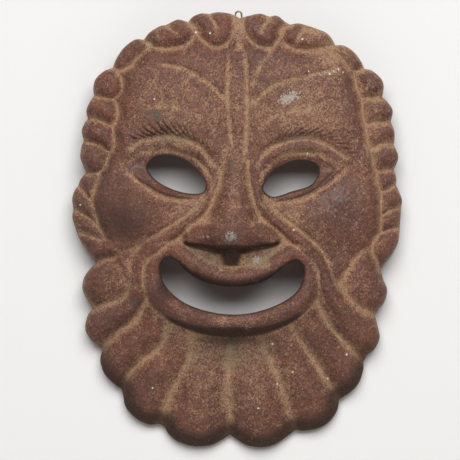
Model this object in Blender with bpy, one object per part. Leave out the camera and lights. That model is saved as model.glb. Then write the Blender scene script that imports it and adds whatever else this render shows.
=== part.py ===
"""A cast iron mascaron: a grinning comedy mask that hangs on a wall.

One hollow casting with two eye holes and an open mouth, framed by locks of hair and a beard of broad lobes,
and the brass wire loop it hangs by. Metres, +Z up. The mask looks along -Y and its back rim lies in the plane
Y = 0. The origin is in that plane, at the inside top of the wire loop, where a hook in the wall carries it.

The relief is drawn on a sheet: x runs right, y runs down, and one unit is the mask's height / SHEET_HEIGHT.
Heights over the wall are drawn in units too, and one unit of height is the mask's depth / SHEET_DEPTH.
"""

import math
from dataclasses import dataclass

import bmesh
import bpy
import numpy as np
from mathutils import Vector
from mathutils.geometry import delaunay_2d_cdt

# Driving dimensions
MASK_HEIGHT = 0.340
MASK_DEPTH = 0.064
WALL = 0.005
RIM = 0.004
EDGE = 0.0048
WIRE_DIAMETER = 0.0013
LOOP_WIDTH = 0.0063
LOOP_ABOVE_IRON = 0.0047
STUD_DROP = 0.017
STUD_HEAD_OVERHANG = 0.0015
STUD_HEAD_THICKNESS = 0.0009
WALL_GAP = 0.0003
CLEARANCE = 0.0004
CHANNEL_RUN_OUT = 0.006

# The sheet
SHEET_HEIGHT = 434.0
SHEET_DEPTH = 81.9
TOP_CENTRE = (238.5, 18.5)
UNIT = MASK_HEIGHT / SHEET_HEIGHT
DEPTH_UNIT = MASK_DEPTH / SHEET_DEPTH

# Mesh spacing on the sheet
LINE_STEP = 5.2
FILL_STEP = 7.0
BACK_STEP = 11.0
EDGE_ROWS = (2.2, 6.2, 11.5)
HOLE_ROW_FRONT = 3.0
HOLE_ROW_BACK = 6.0
SHAPE_STEP = 3.0


# Carving
@dataclass(frozen=True)
class Stroke:
    """A line of carving: half widths and heights are spread evenly along it."""

    line: tuple
    widths: tuple
    heights: tuple
    power: float = 1.0


@dataclass(frozen=True)
class Mound:
    """A soft oval swelling, or a hollow where its height is negative."""

    centre: tuple
    radii: tuple
    height: float
    turn: float = 0.0


@dataclass(frozen=True)
class Scallop:
    """One lobe of the outline, from its notch over its crown to the next one's notch."""

    notch: tuple
    crown: tuple


HAIR_SCALLOPS_RIGHT = (
    Scallop((240, 18.5), ((249, 16), (260, 14))),
    Scallop((269.5, 17), ((277, 16), (285, 22))),
    Scallop((290, 25), ((299, 23.7),)),
    Scallop((311, 27), ((325, 32.5), (331, 38))),
    Scallop((335, 45.5), ((344, 46), (354, 52.5), (361, 62))),
    Scallop((364, 69), ((372, 71), (381, 79), (383.5, 87))),
    Scallop((382, 97), ((388, 103), (392.5, 111))),
    Scallop((390.5, 122), ((394, 131), (394.4, 138))),
    Scallop((393.6, 145), ((398, 157),)),
    Scallop((393.7, 170), ((396, 178),)),
    Scallop((395.8, 185), ((401.5, 199),)),
    Scallop((401, 208), ((400.2, 218),)),
    Scallop((399.5, 228), ((398, 242), (392, 254), (385, 263))),
)
BEARD_SCALLOPS = (
    Scallop((380.5, 269.5), ((383, 279), (387, 290), (384, 302), (378, 310))),
    Scallop((375, 316), ((377.5, 326), (379.5, 337), (375, 348), (367, 355))),
    Scallop((363.3, 361), ((363, 370), (358.5, 383), (350, 392))),
    Scallop((339, 399), ((337, 410), (329.5, 421), (318, 428), (305, 430.5))),
    Scallop((295, 429.7), ((287, 436), (275, 444), (262, 447), (247, 445), (237, 439))),
    Scallop((230, 434.2), ((221, 440), (210, 445), (193, 445.8), (178, 441), (169, 434), (164, 426))),
    Scallop((159, 423.3), ((149, 424.2), (136, 418), (126, 407), (123.5, 396))),
    Scallop((122, 388.5), ((115, 384), (105, 374), (100.5, 361), (102, 351))),
    Scallop((102.7, 347), ((92, 340.5), (85.5, 329), (88, 315))),
    Scallop((93, 308.5), ((87, 299), (82.5, 288), (85, 276), (92, 267))),
)
HAIR_SCALLOPS_LEFT = (
    Scallop((97, 262), ((88, 252), (80, 240))),
    Scallop((76.8, 232), ((72.7, 218),)),
    Scallop((73.7, 210), ((72.4, 199), (75, 190))),
    Scallop((78.5, 186), ((81, 179),)),
    Scallop((86, 173.2), ((83.5, 166), (80.5, 157), (81.7, 147))),
    Scallop((84, 141.2), ((82, 131), (84.5, 124))),
    Scallop((88, 119), ((86.5, 111), (89.5, 103))),
    Scallop((94.3, 96), ((93.5, 88), (96, 79), (104, 71.5))),
    Scallop((113, 68), ((116.5, 59), (124, 48), (135, 40))),
    Scallop((144, 40), ((150, 32.5), (160, 26.5))),
    Scallop((166, 25.3), ((177, 20), (185, 21.3))),
    Scallop((188, 22.4), ((193, 17), (201, 13.7))),
    Scallop((209, 14.3), ((218, 12.5), (230, 14))),
)
SCALLOPS = HAIR_SCALLOPS_RIGHT + BEARD_SCALLOPS + HAIR_SCALLOPS_LEFT

MOUTH = (
    (161, 265), (162, 276), (168, 288), (180, 299), (196, 307), (218, 312.5), (240, 313.5), (262, 309.5),
    (283, 301), (297, 290), (303, 276), (303, 266), (297, 260.5), (289, 262), (278, 271), (263, 281),
    (244, 285.5), (222, 285.5), (203, 280.5), (187, 270.5), (177, 260.5), (168, 257),
)
LEFT_EYE = (
    (147.5, 169), (151, 160), (160, 155.5), (173, 155.5), (187, 161), (199, 172), (206, 184), (203, 192.5),
    (191, 194), (174, 190), (157, 181),
)
RIGHT_EYE = (
    (263, 190), (267, 179), (276, 169), (290, 161.5), (305, 160), (316, 164.5), (318, 175), (309, 186),
    (292, 191.5), (273, 197),
)
OPENINGS = (MOUTH, LEFT_EYE, RIGHT_EYE)

# Creases round the locks of hair, each from its notch in the outline round the lock's foot on the brow
LOCK_CREASES = (
    ((188, 22.4), (196, 29), (200, 38), (209, 45), (220, 47), (230, 42), (233.5, 30), (233.5, 17)),
    ((144, 40), (152, 47), (164, 49.5), (178, 47.5), (190, 43), (196, 33)),
    ((113, 68), (122, 71), (131, 66), (141, 55), (151, 47)),
    ((94.3, 96), (105, 98.5), (115, 99.5), (122, 91), (122, 80), (118, 71)),
    ((88, 119), (99, 120.5), (112, 126), (118, 117), (118, 107), (115, 99.5)),
    ((84, 141.2), (98, 145), (111, 152), (115, 141), (113, 127)),
    ((86, 173.2), (96, 174), (104, 168), (108, 158), (110, 152)),
    ((78.5, 186), (91, 199), (95, 189), (101, 172)),
    ((73.7, 210), (88, 217), (99, 226), (96, 213), (92, 200)),
    ((76.8, 232), (90, 236), (104, 240), (103, 232), (99, 226)),
    ((97, 262), (106, 259), (116, 256)),
    ((243.5, 17), (244, 30), (249, 40), (260, 47.5), (272, 47), (279, 38), (281, 30), (290, 25)),
    ((283, 32), (282, 41), (290, 48), (303, 51), (318, 49), (335, 45.5)),
    ((329, 49), (341, 58), (352, 71), (364, 69)),
    ((353, 72), (356, 87), (361, 98), (370, 98), (382, 97)),
    ((361, 98), (364.5, 123), (377, 122.5), (390.5, 122)),
    ((364.5, 123), (369.5, 148), (381, 144), (393.6, 145)),
    ((369.5, 148), (376, 170), (384, 170.5), (393.7, 170)),
    ((376, 170), (377, 182), (380, 191.5), (387, 190), (395.8, 185)),
    ((380, 191.5), (381, 214), (390, 210), (401, 208)),
    ((381, 214), (380.5, 231), (389, 229.5), (399.5, 228)),
    ((380.5, 231), (373, 240), (371, 248), (374, 257), (380.5, 269.5)),
)
LOCK_WIDTH = 11.0
LOCK_DEPTH = 9.0
LOBE_ROUNDNESS = 1.8
LOCK_SPLITS = (
    Stroke(((209, 14.3), (213.5, 22), (218, 30)), (9, 6), (6, 1.5)),
    Stroke(((166, 25.3), (172, 30), (179, 36)), (9, 6), (6, 1.5)),
    Stroke(((269.5, 17), (265, 24), (261.5, 32)), (9, 6), (6, 1.5)),
    Stroke(((311, 27), (302, 32), (296, 41)), (9, 6), (6, 1.5)),
)
PARTING = ((239, 16), (239, 46))
PARTING_HALF_WIDTH = 3.0

# Creases between the lobes of the beard, from the mouth out to the notches
BEARD_CREASES = (
    Stroke(((147, 298), (136, 319), (121, 330), (102.7, 347)), (9, 14, 20), (5, 10, 13)),
    Stroke(((168, 325), (161, 344), (142, 361), (129, 374), (122, 388.5)), (9, 15, 21), (3, 10, 13)),
    Stroke(((191, 338), (189, 356), (176, 383), (167, 405), (159, 423.3)), (12, 20, 26), (2, 10, 15)),
    Stroke(((231, 338), (229, 372), (229, 405), (230, 434.2)), (14, 23, 31), (3, 10, 16)),
    Stroke(((261, 336), (271, 360), (284, 393), (295, 429.7)), (12, 20, 28), (3, 10, 16)),
    Stroke(((290, 324), (300, 341), (320, 369), (339, 399)), (11, 17, 24), (3, 10, 14)),
    Stroke(((316, 298), (323, 316), (341, 339), (363.3, 361)), (9, 14, 20), (5, 10, 13)),
    Stroke(((341, 284), (347, 297), (360, 308), (375, 316)), (9, 14, 18), (4, 8, 11)),
    Stroke(((134, 286), (124, 297), (109, 304), (93, 308.5)), (9, 14, 18), (4, 8, 11)),
    Stroke(((371, 244), (355, 259), (341, 281)), (6, 7, 6), (3, 5, 4)),
)
BEARD_CREASE_FLOOR = 1.4

MOUNDS = (
    Mound((232, 270), (125, 105), 9.0),
    Mound((137, 208), (56, 46), 10.0, 15.0),
    Mound((339, 210), (56, 46), 10.0, -15.0),
    Mound((180, 96), (72, 52), 5.0),
    Mound((302, 98), (72, 52), 5.0),
    Mound((180, 173), (52, 32), -6.0, 18.0),
    Mound((293, 176), (52, 32), -6.0, -15.0),
    Mound((232, 352), (110, 34), -4.0),
)

LIP_RING = (
    (153, 268), (154, 283), (161, 297), (174, 308), (192, 316.5), (212, 321.5), (234, 322.5), (257, 320),
    (279, 313.5), (296, 303.5), (307, 289), (309, 273), (304, 258), (292, 253.5), (280, 260), (267, 269),
    (250, 275), (232, 276.5), (213, 273.5), (196, 265.5), (182, 255), (169, 250), (158, 254),
)
LIP_WIDTHS = (8.6, 10.8)
LIP_HEIGHTS = (8.0, 13.0)
LIP_MIDDLE = 270.0
LIP_SPAN = 36.0

NOSE_BRIDGE = Stroke(
    ((235, 138), (235, 165), (234, 195), (233, 220), (232, 238)), (9, 12, 17, 24, 28), (0, 5, 12, 20, 23))
NOSE_WINGS = Stroke(
    ((184, 240), (203, 233.5), (232, 234), (262, 233.5), (281, 240)), (5, 13, 17, 13, 5), (0, 17, 27, 17, 0),
    0.8)
NOSE_TIP = Mound((232, 235), (30, 26), 9.0)
NOSE_FLOOR = 251.0
NOSE_FLOOR_LIFT = 7.0
NOSE_HALF_WIDTH = 46.0
NOSE_UNDERSIDE = 9.0
SEPTUM = Stroke(((232, 240), (231, 250), (230, 265)), (13, 12, 8), (20, 13, 1), 1.2)

RIDGES = (
    Stroke(((214, 170), (209, 191), (196, 216), (178, 229), (153, 246), (141, 262), (139, 288), (131, 304),
            (116, 317)), (4, 5.5, 6.5, 7, 8.5, 12), (1, 4, 5.5, 6, 5.5, 0), 0.8),
    Stroke(((254, 168), (259, 196), (272, 217), (297, 238), (317, 260), (326, 283), (341, 307), (359, 325)),
           (4, 5.5, 6.5, 7, 8.5, 12), (1, 4, 5.5, 6, 5.5, 0), 0.8),
    Stroke(((133, 155), (150, 146), (172, 144), (192, 150.5), (206, 162), (212, 175)),
           (5, 6, 6, 4), (0.5, 4.5, 4.5, 0.5), 0.8),
    Stroke(((259, 176), (268, 161), (285, 151), (305, 147.5), (324, 152), (337, 161)),
           (4, 6, 6, 5), (0.5, 4.5, 4.5, 0.5), 0.8),
    Stroke(((124, 147), (140, 130), (163, 122), (187, 126), (205, 138), (214, 151)),
           (8, 13, 14, 13, 7), (0, 4, 5.5, 5, 1)),
    Stroke(((254, 151), (268, 136), (290, 127), (312, 127), (334, 137), (353, 153)),
           (7, 13, 14, 13, 8), (1, 5, 5.5, 4, 0)),
    Stroke(((134, 167), (149, 184), (172, 195), (204, 196)), (4, 5.5, 5), (0.5, 3.5, 1), 0.8),
    Stroke(((337, 168), (321, 185), (297, 196), (268, 200)), (4, 5.5, 5), (0.5, 3.5, 1), 0.8),
    Stroke(((82, 235), (103, 242), (121, 260), (134, 285)), (4, 5, 4), (1, 3.5, 1)),
)

CREASES = (
    Stroke(((131, 161), (147, 153), (170, 150.5), (192, 158), (207, 173), (210, 193)), (3.5,), (2.4,)),
    Stroke(((262, 190), (264, 175), (278, 160), (300, 153.5), (323, 157), (339, 169)), (3.5,), (2.4,)),
    Stroke(((128, 152), (146, 140.5), (173, 138), (197, 145), (213, 167)), (4.5,), (3.8,)),
    Stroke(((256, 168), (268, 151), (291, 140.5), (316, 140), (346, 160)), (4.5,), (3.8,)),
    Stroke(((125, 170), (142, 185), (168, 198.5), (205, 200.5)), (5,), (2.8,)),
    Stroke(((347, 169), (328, 185), (300, 199), (264, 204)), (5,), (2.8,)),
    Stroke(((224, 163), (219, 189), (208, 211), (189, 226), (182, 236), (192, 249)), (4,), (3.2,)),
    Stroke(((247, 161), (249, 190), (259, 215), (277, 231), (279, 241), (272, 250)), (4,), (3.2,)),
    Stroke(((208, 180), (200, 204), (180, 221), (148, 242)), (4.5,), (2.8,)),
    Stroke(((261, 184), (270, 208), (300, 232), (321, 251), (330, 268)), (4.5,), (2.8,)),
    Stroke(((188, 231), (162, 250), (147, 262), (145, 282), (148, 303)), (4,), (3.2,)),
    Stroke(((278, 237), (303, 252), (315, 268), (317, 290), (314, 304)), (4,), (3.2,)),
    Stroke(((229, 50), (227.5, 98), (231, 147)), (4.5,), (3.2,)),
    Stroke(((245, 52), (247, 100), (245, 152)), (4.5,), (3.2,)),
    Stroke(((160, 65), (184, 70), (208, 84), (227, 102)), (4,), (2.8,)),
    Stroke(((338, 70), (306, 77), (273, 87), (251, 107)), (4,), (2.8,)),
    Stroke(((272, 52), (261, 65), (252, 86)), (3,), (1.4,)),
)
CREASE_TAPER = 0.12
CREASE_POWER = 1.5

BASE_EDGE_HEIGHT = 19.0
BASE_CROWN_HEIGHT = 21.0
BASE_CENTRE = (235.0, 230.0)
BASE_RADII = (168.0, 222.0)
ROUNDING_HAIR = 14.0
ROUNDING_BEARD = 25.0
ROUNDING_TOP = 285.0
ROUNDING_SPAN = 110.0
HOLLOW_SLOPE = 2.2
HOLLOW_START = 0.3
EDGE_HEIGHT = EDGE / DEPTH_UNIT


def smooth_line(points, step=SHAPE_STEP, closed=False):
    """A smooth curve through the points, read about every step units."""
    knots = np.array(points, float)
    if closed:
        before, start, end, after = (np.roll(knots, shift, 0) for shift in (1, 0, -1, -2))
    else:
        padded = np.vstack([2 * knots[0] - knots[1], knots, 2 * knots[-1] - knots[-2]])
        before, start, end, after = (padded[i:len(padded) - 3 + i] for i in range(4))
    curve = []
    for a, b, c, d in zip(before, start, end, after):
        count = max(1, round(float(np.linalg.norm(c - b)) / step))
        for t in np.arange(count) / count:
            curve.append(0.5 * (2 * b + (c - a) * t + (2 * a - 5 * b + 4 * c - d) * t ** 2
                                + (3 * b - a - 3 * c + d) * t ** 3))
    if not closed:
        curve.append(knots[-1])
    return np.array(curve)


def outline(step=SHAPE_STEP):
    """The mask's outer edge: every scallop's curve in turn, so that each notch stays sharp."""
    runs = []
    for scallop, following in zip(SCALLOPS, SCALLOPS[1:] + SCALLOPS[:1]):
        points = (scallop.notch,) + scallop.crown + (following.notch,)
        runs.append(smooth_line(points, step)[:-1])
    return np.vstack(runs)


def distance_to(x, y, curve, closed=False):
    """Distance from each point to a curve, and how far along the curve its nearest place is, from 0 to 1."""
    ends = np.roll(curve, -1, 0) if closed else curve[1:]
    starts = curve if closed else curve[:-1]
    lengths = np.linalg.norm(ends - starts, axis=1)
    travelled = np.concatenate([[0.0], np.cumsum(lengths)])
    best = np.full(x.shape, np.inf)
    along = np.zeros(x.shape)
    for start, end, length, before in zip(starts, ends, lengths, travelled):
        way = (end - start) / length
        share = np.clip((x - start[0]) * way[0] + (y - start[1]) * way[1], 0, length)
        gap = np.hypot(x - start[0] - share * way[0], y - start[1] - share * way[1])
        nearer = gap < best
        best = np.where(nearer, gap, best)
        along = np.where(nearer, (before + share) / travelled[-1], along)
    return best, along


def is_inside(x, y, loop):
    """Whether each point lies inside a closed loop."""
    inside = np.zeros(x.shape, bool)
    for (x0, y0), (x1, y1) in zip(loop, np.roll(loop, -1, 0)):
        if y0 != y1:
            crosses = ((y0 > y) != (y1 > y)) & (x < (x1 - x0) * (y - y0) / (y1 - y0) + x0)
            inside ^= crosses
    return inside


def ease(share):
    """A smooth step from 0 to 1."""
    share = np.clip(share, 0, 1)
    return share * share * (3 - 2 * share)


def spread(values, along):
    """Values spaced evenly along a stroke, read at the given places."""
    return np.interp(along, np.linspace(0, 1, len(values)), values) if len(values) > 1 else values[0]


def softer_max(a, b, blend):
    """The larger of two heights, with the corner between them rounded."""
    return 0.5 * (a + b + np.sqrt((a - b) ** 2 + blend * blend))


def mound(x, y, shape):
    """Height of an oval swelling that runs out smoothly."""
    turn = math.radians(shape.turn)
    dx, dy = x - shape.centre[0], y - shape.centre[1]
    across = (dx * math.cos(turn) + dy * math.sin(turn)) / shape.radii[0]
    down = (dy * math.cos(turn) - dx * math.sin(turn)) / shape.radii[1]
    return shape.height * np.clip(1 - across ** 2 - down ** 2, 0, 1) ** 2


def ridge(x, y, stroke):
    """Height of a rounded band along a stroke."""
    gap, along = distance_to(x, y, smooth_line(stroke.line))
    profile = np.clip(1 - (gap / spread(stroke.widths, along)) ** 2, 0, 1) ** stroke.power
    return spread(stroke.heights, along) * profile


def crease(x, y, stroke):
    """Depth of a shallow groove that runs out at both ends."""
    gap, along = distance_to(x, y, smooth_line(stroke.line))
    taper = ease(np.minimum(along, 1 - along) / CREASE_TAPER)
    profile = np.clip(1 - (gap / spread(stroke.widths, along)) ** 2, 0, 1) ** CREASE_POWER
    return taper * spread(stroke.heights, along) * profile


def valley(x, y, line, widths, depths, floor=0.0):
    """Depth of the line where two round lobes meet."""
    gap, along = distance_to(x, y, smooth_line(line))
    share = 1 - np.clip((gap - floor) / spread(widths, along), 0, 1)
    return spread(depths, along) * share ** LOBE_ROUNDNESS


def base_height(x, y):
    """The domed ground of the face with its soft masses."""
    across = (x - BASE_CENTRE[0]) / BASE_RADII[0]
    down = (y - BASE_CENTRE[1]) / BASE_RADII[1]
    height = BASE_EDGE_HEIGHT + BASE_CROWN_HEIGHT * np.clip(1 - across ** 2 - down ** 2, 0, 1) ** 0.8
    for shape in MOUNDS:
        height = height + mound(x, y, shape)
    return height


def nose_height(x, y):
    """The nose: a bridge that widens into a broad tip with flat wings, cut off below, over the septum."""
    bridge = softer_max(ridge(x, y, NOSE_BRIDGE), ridge(x, y, NOSE_WINGS), 3.0) - 1.5
    floor = NOSE_FLOOR - NOSE_FLOOR_LIFT * ((x - NOSE_TIP.centre[0]) / NOSE_HALF_WIDTH) ** 2
    above_floor = ease((floor - y) / NOSE_UNDERSIDE)
    nose = (np.clip(bridge, 0, None) + mound(x, y, NOSE_TIP)) * above_floor
    return np.maximum(nose, ridge(x, y, SEPTUM))


def lip_height(x, y):
    """The rolled lip round the mouth, heavier below."""
    gap, _ = distance_to(x, y, smooth_line(LIP_RING, closed=True), closed=True)
    lower = ease((y - LIP_MIDDLE) / LIP_SPAN)
    width = LIP_WIDTHS[0] + (LIP_WIDTHS[1] - LIP_WIDTHS[0]) * lower
    height = LIP_HEIGHTS[0] + (LIP_HEIGHTS[1] - LIP_HEIGHTS[0]) * lower
    return height * np.clip(1 - (gap / width) ** 2, 0, 1) ** 0.6


def lobe_depth(x, y):
    """How far the creases between the locks and the lobes of the beard cut in."""
    depth = valley(x, y, PARTING, (LOCK_WIDTH,), (LOCK_DEPTH,), PARTING_HALF_WIDTH)
    for line in LOCK_CREASES:
        depth = np.maximum(depth, valley(x, y, line, (LOCK_WIDTH,), (LOCK_DEPTH,)))
    for split in LOCK_SPLITS:
        depth = np.maximum(depth, valley(x, y, split.line, split.widths, split.heights))
    for stroke in BEARD_CREASES:
        groove = valley(x, y, stroke.line, stroke.widths, stroke.heights, BEARD_CREASE_FLOOR)
        depth = np.maximum(depth, groove)
    return depth


def edge_distance(x, y):
    """Distance in from the outline, 0 outside it."""
    loop = outline()
    gap, _ = distance_to(x, y, loop, closed=True)
    return np.where(is_inside(x, y, loop), gap, 0.0)


def relief(x, y):
    """Height of the front over the wall, in units."""
    height = base_height(x, y) + nose_height(x, y) + lip_height(x, y)
    for stroke in RIDGES:
        height = height + ridge(x, y, stroke)
    for stroke in CREASES:
        height = height - crease(x, y, stroke)
    height = height - lobe_depth(x, y)
    rounding = ROUNDING_HAIR + (ROUNDING_BEARD - ROUNDING_HAIR) * ease((y - ROUNDING_TOP) / ROUNDING_SPAN)
    rise = np.clip(edge_distance(x, y) / rounding, 0, 1)
    return EDGE_HEIGHT + (height - EDGE_HEIGHT) * np.sqrt(1 - (1 - rise) ** 2)


def hollow(x, y):
    """Height of the hidden back: flat on the rim, then a wall's thickness under the lowest relief near."""
    rim = RIM / UNIT
    lowest = relief(x, y)
    for turn in np.arange(8) * math.pi / 4:
        for reach in (0.7 * rim, 1.4 * rim):
            lowest = np.minimum(lowest, relief(x + reach * math.cos(turn), y + reach * math.sin(turn)))
    rise = (edge_distance(x, y) - rim - HOLLOW_START) * HOLLOW_SLOPE
    return np.clip(np.minimum(lowest - WALL / DEPTH_UNIT, rise), 0, None)


# Mesh
def apart(candidates, kept, spacing):
    """The kept points and those candidates that stand at least the spacing away from all before them."""
    points = np.array(kept, float).reshape(-1, 2)
    room = np.zeros((len(points) + len(candidates), 2))
    room[:len(points)] = points
    count = len(points)
    for candidate in candidates:
        gaps = room[:count] - candidate
        if count == 0 or np.min(np.einsum("ij,ij->i", gaps, gaps)) >= spacing * spacing:
            room[count] = candidate
            count += 1
    return room[:count]


def inner_row(loop, depth, step, outward=False):
    """Points that run beside a closed loop at a depth, without the ones that crowd into its corners."""
    curve = smooth_line(loop, step, closed=True) if len(loop) < 60 else loop
    along = np.roll(curve, -1, 0) - np.roll(curve, 1, 0)
    normal = np.stack([along[:, 1], -along[:, 0]], 1) / np.linalg.norm(along, axis=1)[:, None]
    area = np.sum(curve[:, 0] * np.roll(curve[:, 1], -1) - curve[:, 1] * np.roll(curve[:, 0], -1))
    side = -1.0 if (area > 0) != outward else 1.0
    row = curve + side * depth * normal
    gap, _ = distance_to(row[:, 0], row[:, 1], curve, closed=True)
    return row[gap > 0.93 * depth]


def hexagon_grid(step):
    """A triangular grid of points over the sheet."""
    rows = np.arange(0, 460, step * math.sqrt(0.75))
    points = [(x + (i % 2) * step / 2, y) for i, y in enumerate(rows) for x in np.arange(60, 415, step)]
    return np.array(points)


def carving_lines():
    """Every line that the front's mesh follows, so that crests and creases come out sharp."""
    lines = [LIP_RING + LIP_RING[:1], PARTING, NOSE_BRIDGE.line, NOSE_WINGS.line, SEPTUM.line]
    lines += list(LOCK_CREASES)
    for stroke in LOCK_SPLITS + BEARD_CREASES + CREASES + RIDGES:
        lines.append(stroke.line)
    return lines


def sheet_points(boundary, rows, lines, line_step, fill_step):
    """The points of one side's mesh: its edges, then rows beside them, carved lines and an even fill."""
    loop = outline()
    holes = [smooth_line(hole, SHAPE_STEP, closed=True) for hole in OPENINGS]
    groups = [(np.vstack(rows), 0.6 * LINE_STEP)]
    groups += [(smooth_line(line, line_step), 0.72 * line_step) for line in lines]
    groups.append((hexagon_grid(fill_step), 0.74 * fill_step))
    points = boundary
    for group, spacing in groups:
        usable = is_inside(group[:, 0], group[:, 1], loop)
        for hole in holes:
            usable &= ~is_inside(group[:, 0], group[:, 1], hole)
        points = apart(group[usable], points, spacing)
    return points


def triangles(points, boundary_loops):
    """Triangles between the points, inside the outline and outside the openings."""
    edges = []
    first = 0
    for loop in boundary_loops:
        edges += [(first + i, first + (i + 1) % len(loop)) for i in range(len(loop))]
        first += len(loop)
    flat = [Vector(point) for point in points]
    found, _, faces, sources, _, _ = delaunay_2d_cdt(flat, edges, [], 0, 1e-6, True)
    origin = [source[0] for source in sources]
    corners = np.array([[origin[i] for i in face] for face in faces])
    middle = points[corners].mean(1)
    inside = is_inside(middle[:, 0], middle[:, 1], boundary_loops[0])
    for hole in boundary_loops[1:]:
        inside &= ~is_inside(middle[:, 0], middle[:, 1], hole)
    return corners[inside]


def to_world(points, height):
    """Places in space of points on the sheet at a height over the wall."""
    x = (points[:, 0] - TOP_CENTRE[0]) * UNIT
    z = (TOP_CENTRE[1] - points[:, 1]) * UNIT - LOOP_ABOVE_IRON
    return np.stack([x, -height * DEPTH_UNIT, z], 1)


def casting_mesh():
    """The closed shell: carved front, hollow back with its flat rim, and the bands round every edge."""
    loops = [outline(LINE_STEP)] + [smooth_line(hole, LINE_STEP, closed=True) for hole in OPENINGS]
    boundary = np.vstack(loops)
    edge_rows = [inner_row(loops[0], depth, LINE_STEP) for depth in EDGE_ROWS]
    hole_rows = [inner_row(hole, HOLE_ROW_FRONT, LINE_STEP, outward=True) for hole in loops[1:]]
    front = sheet_points(boundary, edge_rows + hole_rows, carving_lines(), LINE_STEP, FILL_STEP)
    back_rows = [inner_row(loops[0], RIM / UNIT, LINE_STEP)]
    back_rows += [inner_row(hole, HOLE_ROW_BACK, LINE_STEP, outward=True) for hole in loops[1:]]
    back = sheet_points(boundary, back_rows, [LIP_RING + LIP_RING[:1]], BACK_STEP, BACK_STEP)

    bm = bmesh.new()
    places = [to_world(front, relief(*front.T)), to_world(back, hollow(*back.T))]
    sheets = [[bm.verts.new(place) for place in side] for side in places]
    for side, points in zip(sheets, (front, back)):
        for corners in triangles(points, loops):
            bm.faces.new([side[i] for i in corners])
    first = 0
    for loop in loops:
        for i in range(len(loop)):
            a, b = first + i, first + (i + 1) % len(loop)
            bm.faces.new((sheets[0][a], sheets[0][b], sheets[1][b], sheets[1][a]))
        first += len(loop)
    bmesh.ops.recalc_face_normals(bm, faces=bm.faces)
    bmesh.ops.triangulate(bm, faces=[face for face in bm.faces if len(face.verts) > 3])
    mesh = bpy.data.meshes.new("mask_casting")
    bm.to_mesh(mesh)
    bm.free()
    return mesh


# Parts
def loop_radius():
    """Radius of the wire's centre line round both ends of the loop."""
    return (LOOP_WIDTH - WIRE_DIAMETER) / 2


def stud_radius():
    """Radius of the stud that fits inside the loop's lower end."""
    return loop_radius() - WIRE_DIAMETER / 2 - CLEARANCE


def wire_depth():
    """Distance from the wall to the wire's centre line, in front of the stud's head."""
    return WALL_GAP + STUD_HEAD_THICKNESS + CLEARANCE + WIRE_DIAMETER / 2


def make_material(name, colour, roughness, metallic):
    """A plain finish."""
    material = bpy.data.materials.new(name)
    material.use_nodes = True
    shader = material.node_tree.nodes["Principled BSDF"]
    shader.inputs["Base Color"].default_value = (*colour, 1.0)
    shader.inputs["Roughness"].default_value = roughness
    shader.inputs["Metallic"].default_value = metallic
    return material


def link_object(name, data, collection, material=None):
    """A new object in a collection, with its finish."""
    made = bpy.data.objects.new(name, data)
    collection.objects.link(made)
    if material is not None:
        data.materials.append(material)
    return made


def add_cutter(target, cutter, operation):
    """Join or cut the target with a helper shape that isn't a part itself."""
    cutter.hide_render = True
    cutter.display_type = "WIRE"
    modifier = target.modifiers.new(cutter.name, "BOOLEAN")
    modifier.operation = operation
    modifier.object = cutter


def make_stud(collection):
    """The headed stud on the hidden back that the wire loop goes round."""
    drop = STUD_DROP
    sheet_y = TOP_CENTRE[1] + (drop - LOOP_ABOVE_IRON) / UNIT
    iron = float(relief(np.array([TOP_CENTRE[0]]), np.array([sheet_y]))[0]) * DEPTH_UNIT
    root = -(iron - WALL / 2)
    bm = bmesh.new()
    shank, head = stud_radius(), stud_radius() + STUD_HEAD_OVERHANG
    face, neck = -WALL_GAP, -WALL_GAP - STUD_HEAD_THICKNESS
    profile = [(0.0, root), (shank, root), (shank, neck), (head, neck), (head, face), (0.0, face)]
    verts = [bm.verts.new((radius, depth, -drop)) for radius, depth in profile]
    edges = [bm.edges.new(pair) for pair in zip(verts, verts[1:])]
    bmesh.ops.spin(bm, geom=verts + edges, cent=(0, 0, -drop), axis=(0, 1, 0), angle=2 * math.pi, steps=16,
                   use_merge=True)
    bmesh.ops.remove_doubles(bm, verts=bm.verts, dist=1e-6)
    bmesh.ops.recalc_face_normals(bm, faces=bm.faces)
    mesh = bpy.data.meshes.new("stud")
    bm.to_mesh(mesh)
    bm.free()
    return link_object("stud", mesh, collection)


def make_wire_channel(collection):
    """The slot through the top of the back rim where the wire leaves the hollow."""
    depth = wire_depth() + WIRE_DIAMETER / 2 + CLEARANCE
    half_width = LOOP_WIDTH / 2 + CLEARANCE
    top = -LOOP_ABOVE_IRON + RIM
    bottom = -LOOP_ABOVE_IRON - RIM - CHANNEL_RUN_OUT
    bm = bmesh.new()
    bmesh.ops.create_cube(bm, size=1.0)
    bmesh.ops.scale(bm, vec=(2 * half_width, 2 * depth, top - bottom), verts=bm.verts)
    bmesh.ops.translate(bm, vec=(0, 0, (top + bottom) / 2), verts=bm.verts)
    mesh = bpy.data.meshes.new("wire_channel")
    bm.to_mesh(mesh)
    bm.free()
    return link_object("wire_channel", mesh, collection)


def make_casting(collection, cutters):
    """The iron casting with its stud and the channel for the wire."""
    iron = make_material("rusted_cast_iron", (0.16, 0.085, 0.06), 0.85, 0.25)
    casting = link_object("mask_casting", casting_mesh(), collection, iron)
    add_cutter(casting, make_wire_channel(cutters), "DIFFERENCE")
    add_cutter(casting, make_stud(cutters), "UNION")
    return casting


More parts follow.
